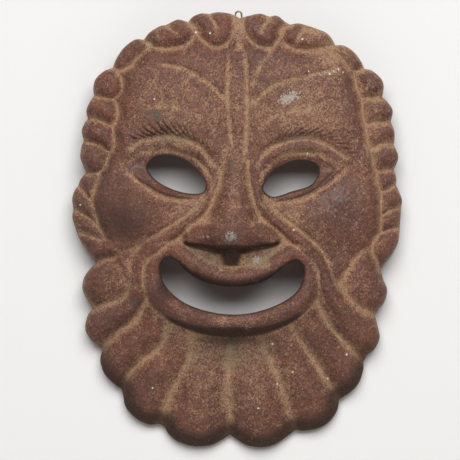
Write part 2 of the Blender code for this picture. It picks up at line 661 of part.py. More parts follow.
def make_wire(collection):
    """The brass wire loop: straight sides between two half circles, round the stud and up past the iron."""
    radius = loop_radius()
    top = WIRE_DIAMETER / 2 - radius
    bottom = -STUD_DROP + (loop_radius() - WIRE_DIAMETER / 2 - stud_radius()) / 4
    half_turn = [math.pi * i / 8 for i in range(9)]
    route = [(radius * math.cos(a), top + radius * math.sin(a)) for a in half_turn]
    route += [(-radius * math.cos(a), bottom - radius * math.sin(a)) for a in half_turn]
    curve = bpy.data.curves.new("hanging_wire", "CURVE")
    curve.dimensions = "3D"
    curve.bevel_depth = WIRE_DIAMETER / 2
    curve.bevel_resolution = 2
    spline = curve.splines.new("POLY")
    spline.points.add(len(route) - 1)
    for point, (x, z) in zip(spline.points, route):
        point.co = (x, -wire_depth(), z, 1.0)
    spline.use_cyclic_u = True
    brass = make_material("dull_brass_wire", (0.33, 0.26, 0.12), 0.45, 1.0)
    return link_object("hanging_wire", curve, collection, brass)


def main():
    """Clear the scene and build the mask."""
    for old in list(bpy.data.objects):
        bpy.data.objects.remove(old, do_unlink=True)
    parts = bpy.data.collections.new("cast_iron_mascaron")
    cutters = bpy.data.collections.new("cutters")
    for collection in (parts, cutters):
        bpy.context.scene.collection.children.link(collection)
    make_casting(parts, cutters)
    make_wire(parts)


main()
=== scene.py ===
"""The looks of a cast iron mascaron: a rusted comedy mask that hangs on a wall by a brass wire loop.

The casting's fine surface is the solid's own mesh, made dense and carved again with nearly the same strokes,
plus brow hairs, scratches and unevenness too fine for the solid. Metres, +Z up; the mask looks along -Y.

The relief is drawn on a sheet: x runs right, y runs down, and one unit is the mask's height / SHEET_HEIGHT.
Heights over the wall are drawn in units too, and one unit of height is the mask's depth / SHEET_DEPTH.
"""

import logging
import math
from collections.abc import Callable
from dataclasses import dataclass
from enum import Enum

import bmesh
import bpy
import numpy as np
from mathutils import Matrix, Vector


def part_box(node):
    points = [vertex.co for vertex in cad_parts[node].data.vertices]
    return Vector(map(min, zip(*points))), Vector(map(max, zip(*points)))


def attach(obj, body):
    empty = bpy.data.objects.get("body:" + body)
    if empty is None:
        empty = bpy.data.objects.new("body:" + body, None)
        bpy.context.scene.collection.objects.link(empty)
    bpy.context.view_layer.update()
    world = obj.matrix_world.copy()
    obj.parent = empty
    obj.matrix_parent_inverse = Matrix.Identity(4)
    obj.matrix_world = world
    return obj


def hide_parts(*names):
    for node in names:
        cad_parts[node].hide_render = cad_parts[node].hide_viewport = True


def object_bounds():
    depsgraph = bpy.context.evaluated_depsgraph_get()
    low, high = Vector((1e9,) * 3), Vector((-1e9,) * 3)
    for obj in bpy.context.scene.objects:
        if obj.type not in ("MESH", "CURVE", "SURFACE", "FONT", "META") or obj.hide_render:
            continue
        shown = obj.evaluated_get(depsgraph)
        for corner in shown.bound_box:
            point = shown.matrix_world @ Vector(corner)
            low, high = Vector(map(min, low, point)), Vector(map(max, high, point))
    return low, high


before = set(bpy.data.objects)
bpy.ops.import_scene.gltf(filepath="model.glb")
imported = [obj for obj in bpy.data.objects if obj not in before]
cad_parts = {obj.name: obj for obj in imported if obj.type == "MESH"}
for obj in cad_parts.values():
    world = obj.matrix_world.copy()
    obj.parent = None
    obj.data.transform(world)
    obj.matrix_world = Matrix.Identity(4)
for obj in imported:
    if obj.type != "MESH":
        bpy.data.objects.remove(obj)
CAD_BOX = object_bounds()

Points = tuple[tuple[float, float], ...]
Numbers = tuple[float, ...]
Screen = tuple[int, int, int]

# Driving dimensions
MASK_HEIGHT = 0.340
MASK_DEPTH = 0.064
EDGE = 0.0048
WIRE_DIAMETER = 0.0013
LOOP_ABOVE_IRON = 0.0047
HARDWARE_HALF_WIDTH = 0.0068
HARDWARE_DROP = 0.024

# The sheet
SHEET_HEIGHT = 434.0
SHEET_DEPTH = 81.9
TOP_CENTRE = (238.5, 18.5)
UNIT = MASK_HEIGHT / SHEET_HEIGHT
DEPTH_UNIT = MASK_DEPTH / SHEET_DEPTH
EDGE_HEIGHT = EDGE / DEPTH_UNIT
SHAPE_STEP = 3.0
FINE_STEP = 1.0

LOG = logging.getLogger("mascaron")


# Carving tools
def smooth_line(points: Points, step: float = SHAPE_STEP, closed: bool = False) -> np.ndarray:
    """A smooth curve through the points.

    Args:
        points: The knots on the sheet.
        step: About how far apart the curve is read, in units.
        closed: Whether the last knot joins the first.

    Returns:
        The curve's points, one to a row.
    """
    knots = np.array(points, float)
    if closed:
        before, start, end, after = (np.roll(knots, shift, 0) for shift in (1, 0, -1, -2))
    else:
        padded = np.vstack([2 * knots[0] - knots[1], knots, 2 * knots[-1] - knots[-2]])
        before, start, end, after = (padded[i:len(padded) - 3 + i] for i in range(4))
    curve = []
    for a, b, c, d in zip(before, start, end, after):
        count = max(1, round(float(np.linalg.norm(c - b)) / step))
        for t in np.arange(count) / count:
            curve.append(0.5 * (2 * b + (c - a) * t + (2 * a - 5 * b + 4 * c - d) * t ** 2
                                + (3 * b - a - 3 * c + d) * t ** 3))
    if not closed:
        curve.append(knots[-1])
    return np.array(curve)


def nearest_on(x: np.ndarray, y: np.ndarray, curve: np.ndarray,
               closed: bool = False) -> tuple[np.ndarray, np.ndarray, np.ndarray]:
    """Where each point comes nearest to a curve.

    Args:
        x: Sheet places, across.
        y: Sheet places, down.
        curve: The curve's points, one to a row.
        closed: Whether the curve's last point joins its first.

    Returns:
        The distance, the share of the curve's length travelled, and the nearest place.
    """
    ends = np.roll(curve, -1, 0) if closed else curve[1:]
    starts = curve if closed else curve[:-1]
    lengths = np.linalg.norm(ends - starts, axis=1)
    travelled = np.concatenate([[0.0], np.cumsum(lengths)])
    best = np.full(x.shape, np.inf)
    along = np.zeros(x.shape)
    place = np.zeros((*x.shape, 2))
    for start, end, length, before in zip(starts, ends, lengths, travelled):
        way = (end - start) / length
        share = np.clip((x - start[0]) * way[0] + (y - start[1]) * way[1], 0, length)
        px, py = start[0] + share * way[0], start[1] + share * way[1]
        gap = np.hypot(x - px, y - py)
        nearer = gap < best
        best[nearer] = gap[nearer]
        along[nearer] = (before + share[nearer]) / travelled[-1]
        place[nearer] = np.stack([px[nearer], py[nearer]], -1)
    return best, along, place


def is_inside(x: np.ndarray, y: np.ndarray, loop: np.ndarray) -> np.ndarray:
    """Whether each point lies inside a closed loop.

    Args:
        x: Sheet places, across.
        y: Sheet places, down.
        loop: The loop's points, one to a row.

    Returns:
        True where the point is inside.
    """
    inside = np.zeros(x.shape, bool)
    for (x0, y0), (x1, y1) in zip(loop, np.roll(loop, -1, 0)):
        if y0 != y1:
            inside ^= ((y0 > y) != (y1 > y)) & (x < (x1 - x0) * (y - y0) / (y1 - y0) + x0)
    return inside


def ease(share: np.ndarray) -> np.ndarray:
    """A smooth step from 0 to 1."""
    share = np.clip(share, 0, 1)
    return share * share * (3 - 2 * share)


def spread(values: Numbers, along: np.ndarray | float) -> np.ndarray | float:
    """Values spaced evenly along a line, read at the given shares of its length."""
    if len(values) == 1:
        return values[0] + 0 * along
    return np.interp(along, np.linspace(0, 1, len(values)), values)


def softer_max(a: np.ndarray, b: np.ndarray, blend: float) -> np.ndarray:
    """The larger of two heights, with the corner between them rounded over the blend."""
    return 0.5 * (a + b + np.sqrt((a - b) ** 2 + blend * blend))


@dataclass(frozen=True)
class Stroke:
    """A line of carving: half widths and heights are spread evenly along it."""

    line: Points
    widths: Numbers
    heights: Numbers
    power: float = 1.0

    def along(self, x: np.ndarray, y: np.ndarray, reach: float,
              profile: Callable[[np.ndarray, np.ndarray], np.ndarray]) -> np.ndarray:
        """Works out a profile only where the stroke can reach.

        Args:
            x: Sheet places, across.
            y: Sheet places, down.
            reach: How far from the line the profile still has a value.
            profile: Gives the value from the distance to the line and the share along it.

        Returns:
            The profile's value, 0 out of reach.
        """
        curve = smooth_line(self.line)
        low, high = curve.min(0) - reach, curve.max(0) + reach
        near = (x > low[0]) & (x < high[0]) & (y > low[1]) & (y < high[1])
        value = np.zeros(x.shape)
        if near.any():
            gap, share, _ = nearest_on(x[near], y[near], curve)
            value[near] = profile(gap, share)
        return value

    def ridge(self, x: np.ndarray, y: np.ndarray) -> np.ndarray:
        """Height of a rounded band along the stroke at each place."""
        return self.along(x, y, max(self.widths), lambda gap, share: spread(self.heights, share) * np.clip(
            1 - (gap / spread(self.widths, share)) ** 2, 0, 1) ** self.power)

    def crease(self, x: np.ndarray, y: np.ndarray) -> np.ndarray:
        """Depth of a shallow groove that runs out at both ends, at each place."""
        return self.along(x, y, max(self.widths), lambda gap, share: ease(
            np.minimum(share, 1 - share) / CREASE_TAPER) * spread(self.heights, share) * np.clip(
            1 - (gap / spread(self.widths, share)) ** 2, 0, 1) ** CREASE_POWER)

    def valley(self, x: np.ndarray, y: np.ndarray, floor: float = 0.0) -> np.ndarray:
        """Depth of the line where two round lobes meet, with a flat floor of the given half width."""
        return self.along(x, y, max(self.widths) + floor, lambda gap, share: spread(self.heights, share) * (
            1 - np.clip((gap - floor) / spread(self.widths, share), 0, 1)) ** LOBE_ROUNDNESS)

    def band(self, x: np.ndarray, y: np.ndarray, width: float) -> np.ndarray:
        """How strongly something lies along the stroke, from 1 on it to 0 at the width."""
        return self.along(x, y, width, lambda gap, share: ease(1 - gap / width))


@dataclass(frozen=True)
class Mound:
    """A soft oval swelling, or a hollow or a spot of colour, turned clockwise by degrees."""

    centre: tuple[float, float]
    radii: tuple[float, float]
    height: float
    turn: float = 0.0

    def rise(self, x: np.ndarray, y: np.ndarray) -> np.ndarray:
        """Height of the mound at each place; it runs out smoothly."""
        turn = math.radians(self.turn)
        dx, dy = x - self.centre[0], y - self.centre[1]
        across = (dx * math.cos(turn) + dy * math.sin(turn)) / self.radii[0]
        down = (dy * math.cos(turn) - dx * math.sin(turn)) / self.radii[1]
        return self.height * np.clip(1 - across ** 2 - down ** 2, 0, 1) ** 2


def strokes(*rows: tuple) -> tuple[Stroke, ...]:
    """Strokes from rows of line, half widths, heights and, where it isn't 1, power."""
    return tuple(Stroke(*row) for row in rows)


def mounds(*rows: tuple) -> tuple[Mound, ...]:
    """Mounds from rows of centre, radii, height and, where there is one, turn."""
    return tuple(Mound(*row) for row in rows)


def piled(shapes: tuple[Mound, ...], x: np.ndarray, y: np.ndarray) -> np.ndarray:
    """The mounds of a table together, at each place."""
    return sum(shape.rise(x, y) for shape in shapes)


# The drawing. Each scallop of the outline is its notch and its crown; the next one's notch ends it
HAIR_SCALLOPS_RIGHT = (
    ((240, 18.5), (249, 16), (260, 14)),
    ((269.5, 17), (277, 16), (285, 22)),
    ((290, 25), (299, 23.7)),
    ((311, 27), (325, 32.5), (331, 38)),
    ((335, 45.5), (344, 46), (354, 52.5), (361, 62)),
    ((364, 69), (372, 71), (381, 79), (383.5, 87)),
    ((382, 97), (388, 103), (392.5, 111)),
    ((390.5, 122), (394, 131), (394.4, 138)),
    ((393.6, 145), (398, 157)),
    ((393.7, 170), (396, 178)),
    ((395.8, 185), (401.5, 199)),
    ((401, 208), (400.2, 218)),
    ((399.5, 228), (398, 242), (392, 254), (385, 263)),
)
BEARD_SCALLOPS = (
    ((380.5, 269.5), (383, 279), (387, 290), (384, 302), (378, 310)),
    ((375, 316), (377.5, 326), (379.5, 337), (375, 348), (367, 355)),
    ((363.3, 361), (363, 370), (358.5, 383), (350, 392)),
    ((339, 399), (337, 410), (329.5, 421), (318, 428), (305, 430.5)),
    ((295, 429.7), (287, 436), (275, 444), (262, 447), (247, 445), (237, 439)),
    ((230, 434.2), (221, 440), (210, 445), (193, 445.8), (178, 441), (169, 434), (164, 426)),
    ((159, 423.3), (149, 424.2), (136, 418), (126, 407), (123.5, 396)),
    ((122, 388.5), (115, 384), (105, 374), (100.5, 361), (102, 351)),
    ((102.7, 347), (92, 340.5), (85.5, 329), (88, 315)),
    ((93, 308.5), (87, 299), (82.5, 288), (85, 276), (92, 267)),
)
HAIR_SCALLOPS_LEFT = (
    ((97, 262), (88, 252), (80, 240)),
    ((76.8, 232), (72.7, 218)),
    ((73.7, 210), (72.4, 199), (75, 190)),
    ((78.5, 186), (81, 179)),
    ((86, 173.2), (83.5, 166), (80.5, 157), (81.7, 147)),
    ((84, 141.2), (82, 131), (84.5, 124)),
    ((88, 119), (86.5, 111), (89.5, 103)),
    ((94.3, 96), (93.5, 88), (96, 79), (104, 71.5)),
    ((113, 68), (116.5, 59), (124, 48), (135, 40)),
    ((144, 40), (150, 32.5), (160, 26.5)),
    ((166, 25.3), (177, 20), (185, 21.3)),
    ((188, 22.4), (193, 17), (201, 13.7)),
    ((209, 14.3), (218, 12.5), (230, 14)),
)
SCALLOPS = HAIR_SCALLOPS_RIGHT + BEARD_SCALLOPS + HAIR_SCALLOPS_LEFT

MOUTH = (
    (161, 265), (162, 276), (168, 288), (180, 299), (196, 307), (218, 312.5), (240, 313.5), (262, 309.5),
    (283, 301), (297, 290), (303, 276), (303, 266), (297, 260.5), (289, 262), (278, 271), (263, 281),
    (244, 285.5), (222, 285.5), (203, 280.5), (187, 270.5), (177, 260.5), (168, 257),
)
LEFT_EYE = (
    (147.5, 169), (151, 160), (160, 155.5), (173, 155.5), (187, 161), (199, 172), (206, 184), (203, 192.5),
    (191, 194), (174, 190), (157, 181),
)
RIGHT_EYE = (
    (263, 190), (267, 179), (276, 169), (290, 161.5), (305, 160), (316, 164.5), (318, 175), (309, 186),
    (292, 191.5), (273, 197),
)
OPENINGS = (MOUTH, LEFT_EYE, RIGHT_EYE)

LOCK_WIDTH = 11.0
LOCK_DEPTH = 9.0
LOBE_ROUNDNESS = 1.8
LOCK_CREASES = tuple(Stroke(line, (LOCK_WIDTH,), (LOCK_DEPTH,)) for line in (
    ((188, 22.4), (196, 29), (200, 38), (209, 45), (220, 47), (230, 42), (233.5, 30), (233.5, 17)),
    ((144, 40), (152, 47), (164, 49.5), (178, 47.5), (190, 43), (196, 33)),
    ((113, 68), (122, 71), (131, 66), (141, 55), (151, 47)),
    ((94.3, 96), (105, 98.5), (115, 99.5), (122, 91), (122, 80), (118, 71)),
    ((88, 119), (99, 120.5), (112, 126), (118, 117), (118, 107), (115, 99.5)),
    ((84, 141.2), (98, 145), (111, 152), (115, 141), (113, 127)),
    ((86, 173.2), (96, 174), (104, 168), (108, 158), (110, 152)),
    ((78.5, 186), (91, 199), (95, 189), (101, 172)),
    ((73.7, 210), (88, 217), (99, 226), (96, 213), (92, 200)),
    ((76.8, 232), (90, 236), (104, 240), (103, 232), (99, 226)),
    ((97, 262), (106, 259), (116, 256)),
    ((243.5, 17), (244, 30), (249, 40), (260, 47.5), (272, 47), (279, 38), (281, 30), (290, 25)),
    ((283, 32), (282, 41), (290, 48), (303, 51), (318, 49), (335, 45.5)),
    ((329, 49), (341, 58), (352, 71), (364, 69)),
    ((353, 72), (356, 87), (361, 98), (370, 98), (382, 97)),
    ((361, 98), (364.5, 123), (377, 122.5), (390.5, 122)),
    ((364.5, 123), (369.5, 148), (381, 144), (393.6, 145)),
    ((369.5, 148), (376, 170), (384, 170.5), (393.7, 170)),
    ((376, 170), (377, 182), (380, 191.5), (387, 190), (395.8, 185)),
    ((380, 191.5), (381, 214), (390, 210), (401, 208)),
    ((381, 214), (380.5, 231), (389, 229.5), (399.5, 228)),
    ((380.5, 231), (373, 240), (371, 248), (374, 257), (380.5, 269.5)),
))
LOCK_SPLITS = strokes(
    (((209, 14.3), (213.5, 22), (218, 30)), (9, 6), (6, 1.5)),
    (((166, 25.3), (172, 30), (179, 36)), (9, 6), (6, 1.5)),
    (((269.5, 17), (265, 24), (261.5, 32)), (9, 6), (6, 1.5)),
    (((311, 27), (302, 32), (296, 41)), (9, 6), (6, 1.5)),
)
PARTING = Stroke(((239, 16), (239, 46)), (LOCK_WIDTH,), (LOCK_DEPTH,))
PARTING_HALF_WIDTH = 3.0

BEARD_CREASES = strokes(
    (((147, 298), (136, 319), (121, 330), (102.7, 347)), (9, 14, 20), (5, 10, 13)),
    (((168, 325), (161, 344), (142, 361), (129, 374), (122, 388.5)), (9, 15, 21), (3, 10, 13)),
    (((191, 338), (189, 356), (176, 383), (167, 405), (159, 423.3)), (12, 20, 26), (2, 10, 15)),
    (((231, 338), (229, 372), (229, 405), (230, 434.2)), (14, 23, 31), (3, 10, 16)),
    (((261, 336), (271, 360), (284, 393), (295, 429.7)), (12, 20, 28), (3, 10, 16)),
    (((290, 324), (300, 341), (320, 369), (339, 399)), (11, 17, 24), (3, 10, 14)),
    (((316, 298), (323, 316), (341, 339), (363.3, 361)), (9, 14, 20), (5, 10, 13)),
    (((341, 284), (347, 297), (360, 308), (375, 316)), (9, 14, 18), (4, 8, 11)),
    (((134, 286), (124, 297), (109, 304), (93, 308.5)), (9, 14, 18), (4, 8, 11)),
    (((371, 244), (355, 259), (341, 281)), (6, 7, 6), (3, 5, 4)),
)
BEARD_CREASE_FLOOR = 1.4

MOUNDS = mounds(
    ((232, 270), (125, 105), 9),
    ((137, 208), (56, 46), 10, 15),
    ((339, 210), (56, 46), 10, -15),
    ((180, 96), (72, 52), 5),
    ((302, 98), (72, 52), 5),
    ((180, 173), (52, 32), -6, 18),
    ((293, 176), (52, 32), -6, -15),
    ((232, 352), (110, 34), -4),
)

LIP_RING = (
    (153, 268), (154, 283), (161, 297), (174, 308), (192, 316.5), (212, 321.5), (234, 322.5), (257, 320),
    (279, 313.5), (296, 303.5), (307, 289), (309, 273), (304, 258), (292, 253.5), (280, 260), (267, 269),
    (250, 275), (232, 276.5), (213, 273.5), (196, 265.5), (182, 255), (169, 250), (158, 254),
)
LIP_WIDTHS = (8.6, 10.8)
LIP_HEIGHTS = (8.0, 13.0)
LIP_MIDDLE = 270.0
LIP_SPAN = 36.0
LIP_ROUNDNESS = 0.6

NOSE_BRIDGE = Stroke(((235, 138), (235, 165), (234, 195), (233, 220), (232, 238)),
                     (9, 12, 17, 24, 28), (0, 5, 12, 20, 23))
NOSE_WINGS = Stroke(((190, 239), (205, 235), (232, 234), (259, 235), (274, 239.5)),
                    (9, 13, 17, 13, 9), (9, 17, 27, 17, 9), 0.7)
NOSE_BLEND = 3.0
NOSE_SINK = 1.5
NOSE_TIP = Mound((232, 235), (30, 26), 8.2)
NOSE_FLOOR = 251.5
NOSE_FLOOR_LIFT = 5.0
NOSE_HALF_WIDTH = 46.0
NOSE_UNDERSIDE = 6.0
SEPTUM = Stroke(((232, 240), (231, 250), (230, 265)), (13, 12, 8), (20, 13, 1), 1.2)

RIDGES = strokes(
    (((214, 170), (209, 191), (196, 216), (178, 229), (153, 246), (141, 262), (139, 288), (131, 304),
      (116, 317)), (4, 5.5, 6.5, 7, 8.5, 12), (1, 4, 5.5, 6, 5.5, 0), 0.8),
    (((254, 168), (259, 196), (272, 217), (297, 238), (317, 260), (326, 283), (341, 307), (359, 325)),
      (4, 5.5, 6.5, 7, 8.5, 12), (1, 4, 5.5, 6, 5.5, 0), 0.8),
    (((133, 155), (150, 146), (172, 144), (192, 150.5), (206, 162), (212, 175)), (5, 6, 6, 4),
      (0.5, 2.7, 2.7, 0.5), 0.8),
    (((259, 176), (268, 161), (285, 151), (305, 147.5), (324, 152), (337, 161)), (4, 6, 6, 5),
      (0.5, 2.7, 2.7, 0.5), 0.8),
    (((124, 147), (140, 130), (163, 122), (187, 126), (205, 138), (214, 151)), (8, 13, 14, 13, 7),
      (0, 4, 5.5, 5, 1)),
    (((254, 151), (268, 136), (290, 127), (312, 127), (334, 137), (353, 153)), (7, 13, 14, 13, 8),
      (1, 5, 5.5, 4, 0)),
    (((134, 167), (149, 184), (172, 195), (204, 196)), (4, 5.5, 5), (0.5, 3.5, 1), 0.8),
    (((337, 168), (321, 185), (297, 196), (268, 200)), (4, 5.5, 5), (0.5, 3.5, 1), 0.8),
    (((82, 235), (103, 242), (121, 260), (134, 285)), (4, 5, 4), (1, 3.5, 1)),
)

CREASES = strokes(
    (((131, 161), (147, 152.5), (170, 150.3), (192, 157.5), (207, 171.5), (212, 190)), (4,), (0.9,)),
    (((258, 188), (263, 173), (278, 158), (300, 152.5), (323, 156), (339, 167)), (4,), (0.9,)),
    (((128, 152), (146, 140.5), (173, 138), (197, 145), (213, 167)), (4,), (1.2,)),
    (((256, 168), (268, 151), (291, 140.5), (316, 140), (346, 160)), (4,), (1.2,)),
    (((125, 170), (142, 185), (168, 198.5), (205, 200.5)), (5,), (2.8,)),
    (((347, 169), (328, 185), (300, 199), (264, 204)), (5,), (2.8,)),
    (((224, 163), (219, 189), (208, 211), (189, 226), (182, 236), (192, 249)), (4,), (3.2,)),
    (((247, 161), (249, 190), (259, 215), (277, 231), (279, 241), (272, 250)), (4,), (3.2,)),
    (((208, 180), (200, 204), (180, 221), (148, 242)), (4.5,), (2.8,)),
    (((261, 184), (270, 208), (300, 232), (321, 251), (330, 268)), (4.5,), (2.8,)),
    (((188, 231), (162, 250), (147, 262), (145, 282), (148, 303)), (4,), (2,)),
    (((278, 237), (303, 252), (315, 268), (317, 290), (314, 304)), (4,), (2,)),
    (((229, 50), (227.5, 98), (231, 147)), (4.5,), (3.2,)),
    (((245, 52), (247, 100), (245, 152)), (4.5,), (3.2,)),
    (((160, 65), (184, 70), (208, 84), (227, 102)), (4,), (2.8,)),
    (((338, 70), (306, 77), (273, 87), (251, 107)), (4,), (2.8,)),
    (((272, 52), (261, 65), (252, 86)), (3,), (1.4,)),
)
CREASE_TAPER = 0.12
CREASE_POWER = 1.5

BASE_EDGE_HEIGHT = 19.0
BASE_CROWN_HEIGHT = 21.0
BASE_CENTRE = (235.0, 230.0)
BASE_RADII = (168.0, 222.0)
BASE_ROUNDNESS = 0.8
ROUNDING_HAIR = 14.0
ROUNDING_BEARD = 25.0
ROUNDING_TOP = 285.0
ROUNDING_SPAN = 110.0

# Finer carving, on the visible surface only
SCRATCHES = strokes(
    (((120, 253), (130, 249), (140, 246)), (2.4,), (1,)),
    (((330, 70), (338, 76), (340, 84)), (2.2,), (0.9,)),
)
EYE_BASINS = (
    ((130.5, 167), (139, 157.5), (150, 153), (162, 151), (175, 151.2), (186, 154), (196, 162), (205, 172),
     (210.5, 182), (209, 192), (203, 197), (194, 198.2), (181, 197), (167, 193), (153, 186.5), (139, 178.5)),
    ((335.5, 170), (328, 164), (321, 159.8), (311, 157), (300, 156), (287, 159), (274, 166.5), (265, 176.5),
     (260.5, 188), (262.5, 198), (272, 200.8), (286, 199.6), (300, 195.4), (314, 187), (326, 179)),
)
BASIN_DEPTH = 3.4
BASIN_SLOPE = 6.5
BASIN_STEP = 0.5
BASIN_STEP_WIDTH = 2.0
FINE_WORK_FADE = 5.0
HAIR_BEND = 0.16
HAIR_HEIGHTS = (0.5, 1.0, 0.3)
CUT_DEPTHS = (1.0, 1.0, 0.2)
CUT_WIDTH = 0.65


@dataclass(frozen=True)
class Brow:
    """A band of carved hairs over an eye: each hair is a small ridge with a cut below it."""

    spine: Points
    angles: Numbers
    lengths: Numbers
    count: int
    width: float
    height: float
    cut: float
    cut_offset: float = 2.3

    def hairs(self) -> list[tuple[Stroke, Stroke]]:
        """The hairs in order along the spine.

        Returns:
            One pair for each hair: its ridge and the cut below it.
        """
        spine = smooth_line(self.spine)
        made = []
        for i in range(self.count):
            share = (i + 0.5) / self.count
            place = spine[round(share * (len(spine) - 1))]
            angle = math.radians(float(spread(self.angles, share)))
            half = 0.5 * float(spread(self.lengths, share))
            way = np.array([math.cos(angle), math.sin(angle)])
            below = np.array([-way[1], way[0]]) * (1 if way[0] > 0 else -1)
            bend = below * half * HAIR_BEND
            ends = (place - way * half, place + bend, place + way * half)
            line = tuple((float(x), float(y)) for x, y in ends)
            under = tuple((float(x), float(y)) for x, y in (end + below * self.cut_offset for end in ends))
            heights = tuple(share * self.height for share in HAIR_HEIGHTS)
            depths = tuple(share * self.cut for share in CUT_DEPTHS)
            made.append((Stroke(line, (self.width,), heights),
                         Stroke(under, (self.width * CUT_WIDTH,), depths if way[1] > 0 else depths[::-1])))
        return made


BROWS = (
    Brow(((134, 138), (145, 134), (155, 130.6), (165, 128.5), (175, 128.5), (185, 130.5), (194, 134.5),
          (202, 139.5), (208.5, 144.5)), (10, 18, 29, 40, 46, 50, 55, 58, 58),
         (8, 10, 12, 16, 18, 20, 22, 21, 17), 13, 2.2, 2.4, 1.1, 2.1),
    Brow(((262, 146), (275, 137.5), (290, 132), (308, 130), (325, 133.5), (340, 142), (353, 153)),
         (-54, -46, -36, -22, -4, 12, 20), (11, 14, 14, 12), 15, 1.9, 1.9, 1.0, 1.9),
)


@dataclass(frozen=True)
class Wander:
    """A slow unevenness made of seeded waves, as hand work and a sand mould leave it."""

    wavelength: tuple[float, float]
    amplitude: float
    waves: int
    seed: int
    last_start: float = 6.3

    def height(self, x: np.ndarray, y: np.ndarray) -> np.ndarray:
        """The unevenness in units at each place."""
        draw = np.random.default_rng(self.seed)
        total = np.zeros(x.shape)
        for _ in range(self.waves):
            heading = draw.uniform(0, math.pi)
            number = 2 * math.pi / draw.uniform(*self.wavelength)
            way = x * math.cos(heading) + y * math.sin(heading)
            total += np.sin(way * number + draw.uniform(0, self.last_start))
        return self.amplitude * total / math.sqrt(self.waves / 2)


UNEVENNESS = (
    Wander((26.0, 44.0), 0.45, 9, 11),
    Wander((10.0, 17.0), 0.20, 14, 23),
    Wander((3.8, 6.5), 0.13, 40, 37),
)


